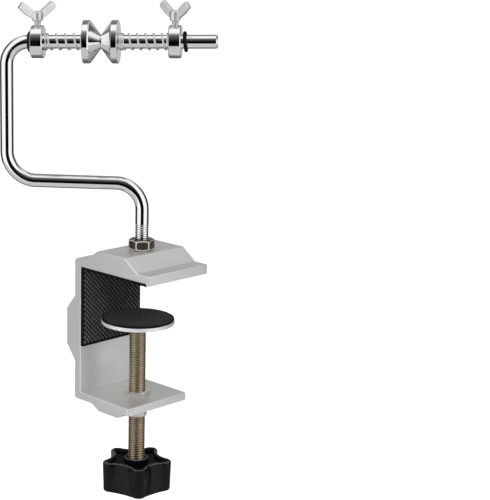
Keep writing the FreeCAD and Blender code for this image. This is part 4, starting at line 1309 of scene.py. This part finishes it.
def make_world(context, fill):
    """Even light from all round, and a white backdrop where it is seen or mirrored."""
    context.scene.world = bpy.data.worlds.new("winder_studio")
    tree = empty_nodes(context.scene.world)
    light, backdrop = (node_value(tree, "ShaderNodeBackground", {"Color": WHITE, "Strength": strength})
                       for strength in (fill, 1.0))
    either = node_value(tree, "ShaderNodeMixShader", {0: seen_directly(tree), 1: light, 2: backdrop})
    add_node(tree, "ShaderNodeOutputWorld", {"Surface": either})


def stage_object(context, name, points, faces, material):
    mesh = bpy.data.meshes.new(name)
    mesh.from_pydata(points, [], faces)
    mesh.materials.append(material)
    item = bpy.data.objects.new(name, mesh)
    context.scene.collection.objects.link(item)
    return item


def floor_material(lift):
    """Pale floor that keeps its shadows and shows white where it is seen or mirrored."""
    material = bpy.data.materials.new("studio_floor")
    tree = empty_nodes(material)
    matt = node_value(tree, "ShaderNodeBsdfDiffuse", {"Color": NEARLY_WHITE})
    glow = node_value(tree, "ShaderNodeEmission", {"Strength": seen_directly(tree) * lift})
    both = node_value(tree, "ShaderNodeAddShader", {0: matt, 1: glow})
    add_node(tree, "ShaderNodeOutputMaterial", {"Surface": both})
    return material


def card_material():
    """Card whose brightness is stored at its points."""
    material = bpy.data.materials.new("mirrored_card")
    tree = empty_nodes(material)
    glow = node_value(tree, "ShaderNodeEmission", {"Strength": stored(tree, "brightness")})
    add_node(tree, "ShaderNodeOutputMaterial", {"Surface": glow})
    return material


def in_steps(pairs, step=6.0):
    """The same course of (angle, value) pairs, with no two of them further apart than step."""
    course = [pairs[0]]
    for (start, low), (end, high) in zip(pairs, pairs[1:]):
        count = max(1, math.ceil((end - start) / step))
        course += [(start + (end - start) * part / count, low + (high - low) * part / count)
                   for part in range(1, count + 1)]
    return course


def out_from(centre, heading, slope, radius):
    """Point at a distance from a centre, at a heading and an elevation in radians."""
    flat = Vector((math.cos(heading), math.sin(heading), 0.0)) * math.cos(slope)
    return centre + (flat + Vector((0.0, 0.0, math.sin(slope)))) * radius


def make_card(context, name, centre, radius, columns, rows, material):
    """Card on a sphere round the object: polished metal mirrors it, and it casts no light or shadow."""
    points, brightness = [], []
    for elevation, level in rows:
        for heading, white in columns:
            points.append(out_from(centre, math.radians(heading), math.radians(elevation), radius))
            brightness.append(level + (1.0 - level) * white)
    width = len(columns)
    faces = [(first, first + 1, first + width + 1, first + width)
             for row in range(len(rows) - 1) for first in range(row * width, row * width + width - 1)]
    item = stage_object(context, name, points, faces, material)
    item.data.attributes.new("brightness", "FLOAT", "POINT").data.foreach_set("value", brightness)
    for ray in ("camera", "diffuse", "shadow", "transmission", "volume_scatter"):
        setattr(item, f"visible_{ray}", False)


def make_cards(context, middle, heading):
    """What polished metal mirrors: a dark card in front and at each side, grey behind and below."""
    material = card_material()
    grey = context.scene.winder_stage.back_grey
    mat = context.scene.winder_stage.mat_grey
    side = [(-22, 0.03), (10, 0.03), (22, 0.1), (36, 0.15), (50, 0.6), (62, 1.0)]
    # Radius in metres, then degrees from the camera's heading with the share of white mixed in there,
    # then elevations in degrees with their brightness
    cards = {
        "card_front_low": (
            1.6, [(-27, 1.0), (-22, 0.0), (25, 0.0), (31, 1.0)], [(-22, 0.002), (2, 0.002)]),
        "card_front_high": (
            1.6, [(-38, 1.0), (-32, 0.0), (25, 0.0), (31, 1.0)],
            [(2, 0.002), (8, 0.003), (14, 0.01), (24, 0.03), (32, 0.06), (43, 0.1), (54, 0.2),
             (61, 0.37), (68, 0.8), (72, 1.0)]),
        "card_left": (1.6, [(-150, 0.5), (-138, 0.0), (-95, 0.0), (-84, 1.0)], side),
        "card_right": (1.6, [(84, 1.0), (95, 0.0), (138, 0.0), (150, 0.5)], side),
        "card_back": (
            1.65, [(138, 0.0), (222, 0.0)],
            [(-10, grey), (10, grey), (20, grey * 0.7), (40, grey * 0.45), (60, grey * 0.3),
             (70, grey * 0.4), (76, 1.0)]),
        "card_below": (1.65, [(-180, 0.0), (180, 0.0)], [(-90, mat * 0.92), (-70, mat), (-22, mat)]),
        "card_below_back": (
            1.62, [(78, 0.9), (92, 0.3), (135, 0.2), (155, 0.0), (205, 0.0), (225, 0.2), (268, 0.3),
                   (282, 0.9)],
            [(-84, mat * 0.8), (-76, mat * 0.5), (-66, mat * 0.25), (-30, mat * 0.2), (-10, mat * 0.3)]),
    }
    for name, (radius, columns, rows) in cards.items():
        columns = in_steps([(heading + angle, white) for angle, white in columns])
        make_card(context, name, middle, radius, columns, in_steps(rows), material)


def make_lamp(context, middle):
    """Soft round lamp, above and to one side."""
    sizes = context.scene.winder_stage
    lamp = bpy.data.lights.new("soft_lamp", "AREA")
    lamp.shape = "DISK"
    lamp.size = sizes.lamp_size
    lamp.energy = sizes.key_power
    holder = bpy.data.objects.new("soft_lamp", lamp)
    holder.visible_glossy = False
    holder.location = out_from(middle, sizes.key_heading, sizes.key_slope, sizes.lamp_distance)
    holder.rotation_euler = (middle - holder.location).to_track_quat("-Z", "Y").to_euler()
    context.scene.collection.objects.link(holder)


class WINDER_OT_stage(bpy.types.Operator):
    """Build the floor, the light, the cards that polished metal mirrors and the camera"""

    bl_idname = "winder.stage"
    bl_label = "Stage"

    def execute(self, context):
        sizes = context.scene.winder_stage
        context.scene.view_settings.view_transform = "Standard"
        camera = make_camera(context)
        make_world(context, sizes.fill)
        level = CAD_BOX[0][2] - sizes.floor_gap
        radius = sizes.floor_radius
        corners = [(x * radius, y * radius, level) for x, y in ((-1, -1), (1, -1), (1, 1), (-1, 1))]
        material = floor_material(sizes.floor_lift)
        floor = stage_object(context, "studio_floor", corners, [(0, 1, 2, 3)], material)
        floor.visible_glossy = False
        middle = (Vector(CAD_BOX[0]) + Vector(CAD_BOX[1])) / 2
        towards = camera.location - middle
        make_cards(context, middle, math.degrees(math.atan2(towards.y, towards.x)))
        make_lamp(context, middle)
        return {"FINISHED"}


OPERATORS = (
    WINDER_OT_stage, WINDER_OT_clamp_frame, WINDER_OT_clamp_pads, WINDER_OT_press_foot,
    WINDER_OT_clamp_screw, WINDER_OT_hexagons, WINDER_OT_knob, WINDER_OT_arm_rod, WINDER_OT_collars,
    WINDER_OT_cones, WINDER_OT_springs, WINDER_OT_wing_screws,
)


class WINDER_PT_panel(bpy.types.Panel):
    """Pieces of the line winder, and the sizes and colours behind them"""

    bl_idname = "WINDER_PT_panel"
    bl_label = "Line Winder"
    bl_space_type = "VIEW_3D"
    bl_region_type = "UI"
    bl_category = "Winder"

    def draw(self, context):
        for operator in OPERATORS:
            self.layout.operator(operator.bl_idname)
        for group, kind in GROUPS.items():
            box = self.layout.box()
            box.label(text=kind.__doc__)
            for name in kind.__annotations__:
                box.prop(getattr(context.scene, group), name)


CLASSES = (*GROUPS.values(), *OPERATORS, WINDER_PT_panel)


def register():
    for item in CLASSES:
        bpy.utils.register_class(item)
    for group, kind in GROUPS.items():
        setattr(bpy.types.Scene, group, PointerProperty(type=kind))


def unregister():
    for group in GROUPS:
        delattr(bpy.types.Scene, group)
    for item in reversed(CLASSES):
        bpy.utils.unregister_class(item)


def main():
    register()
    for operator in OPERATORS:
        family, name = operator.bl_idname.split(".")
        getattr(getattr(bpy.ops, family), name)()


if __name__ == "__main__":
    main()
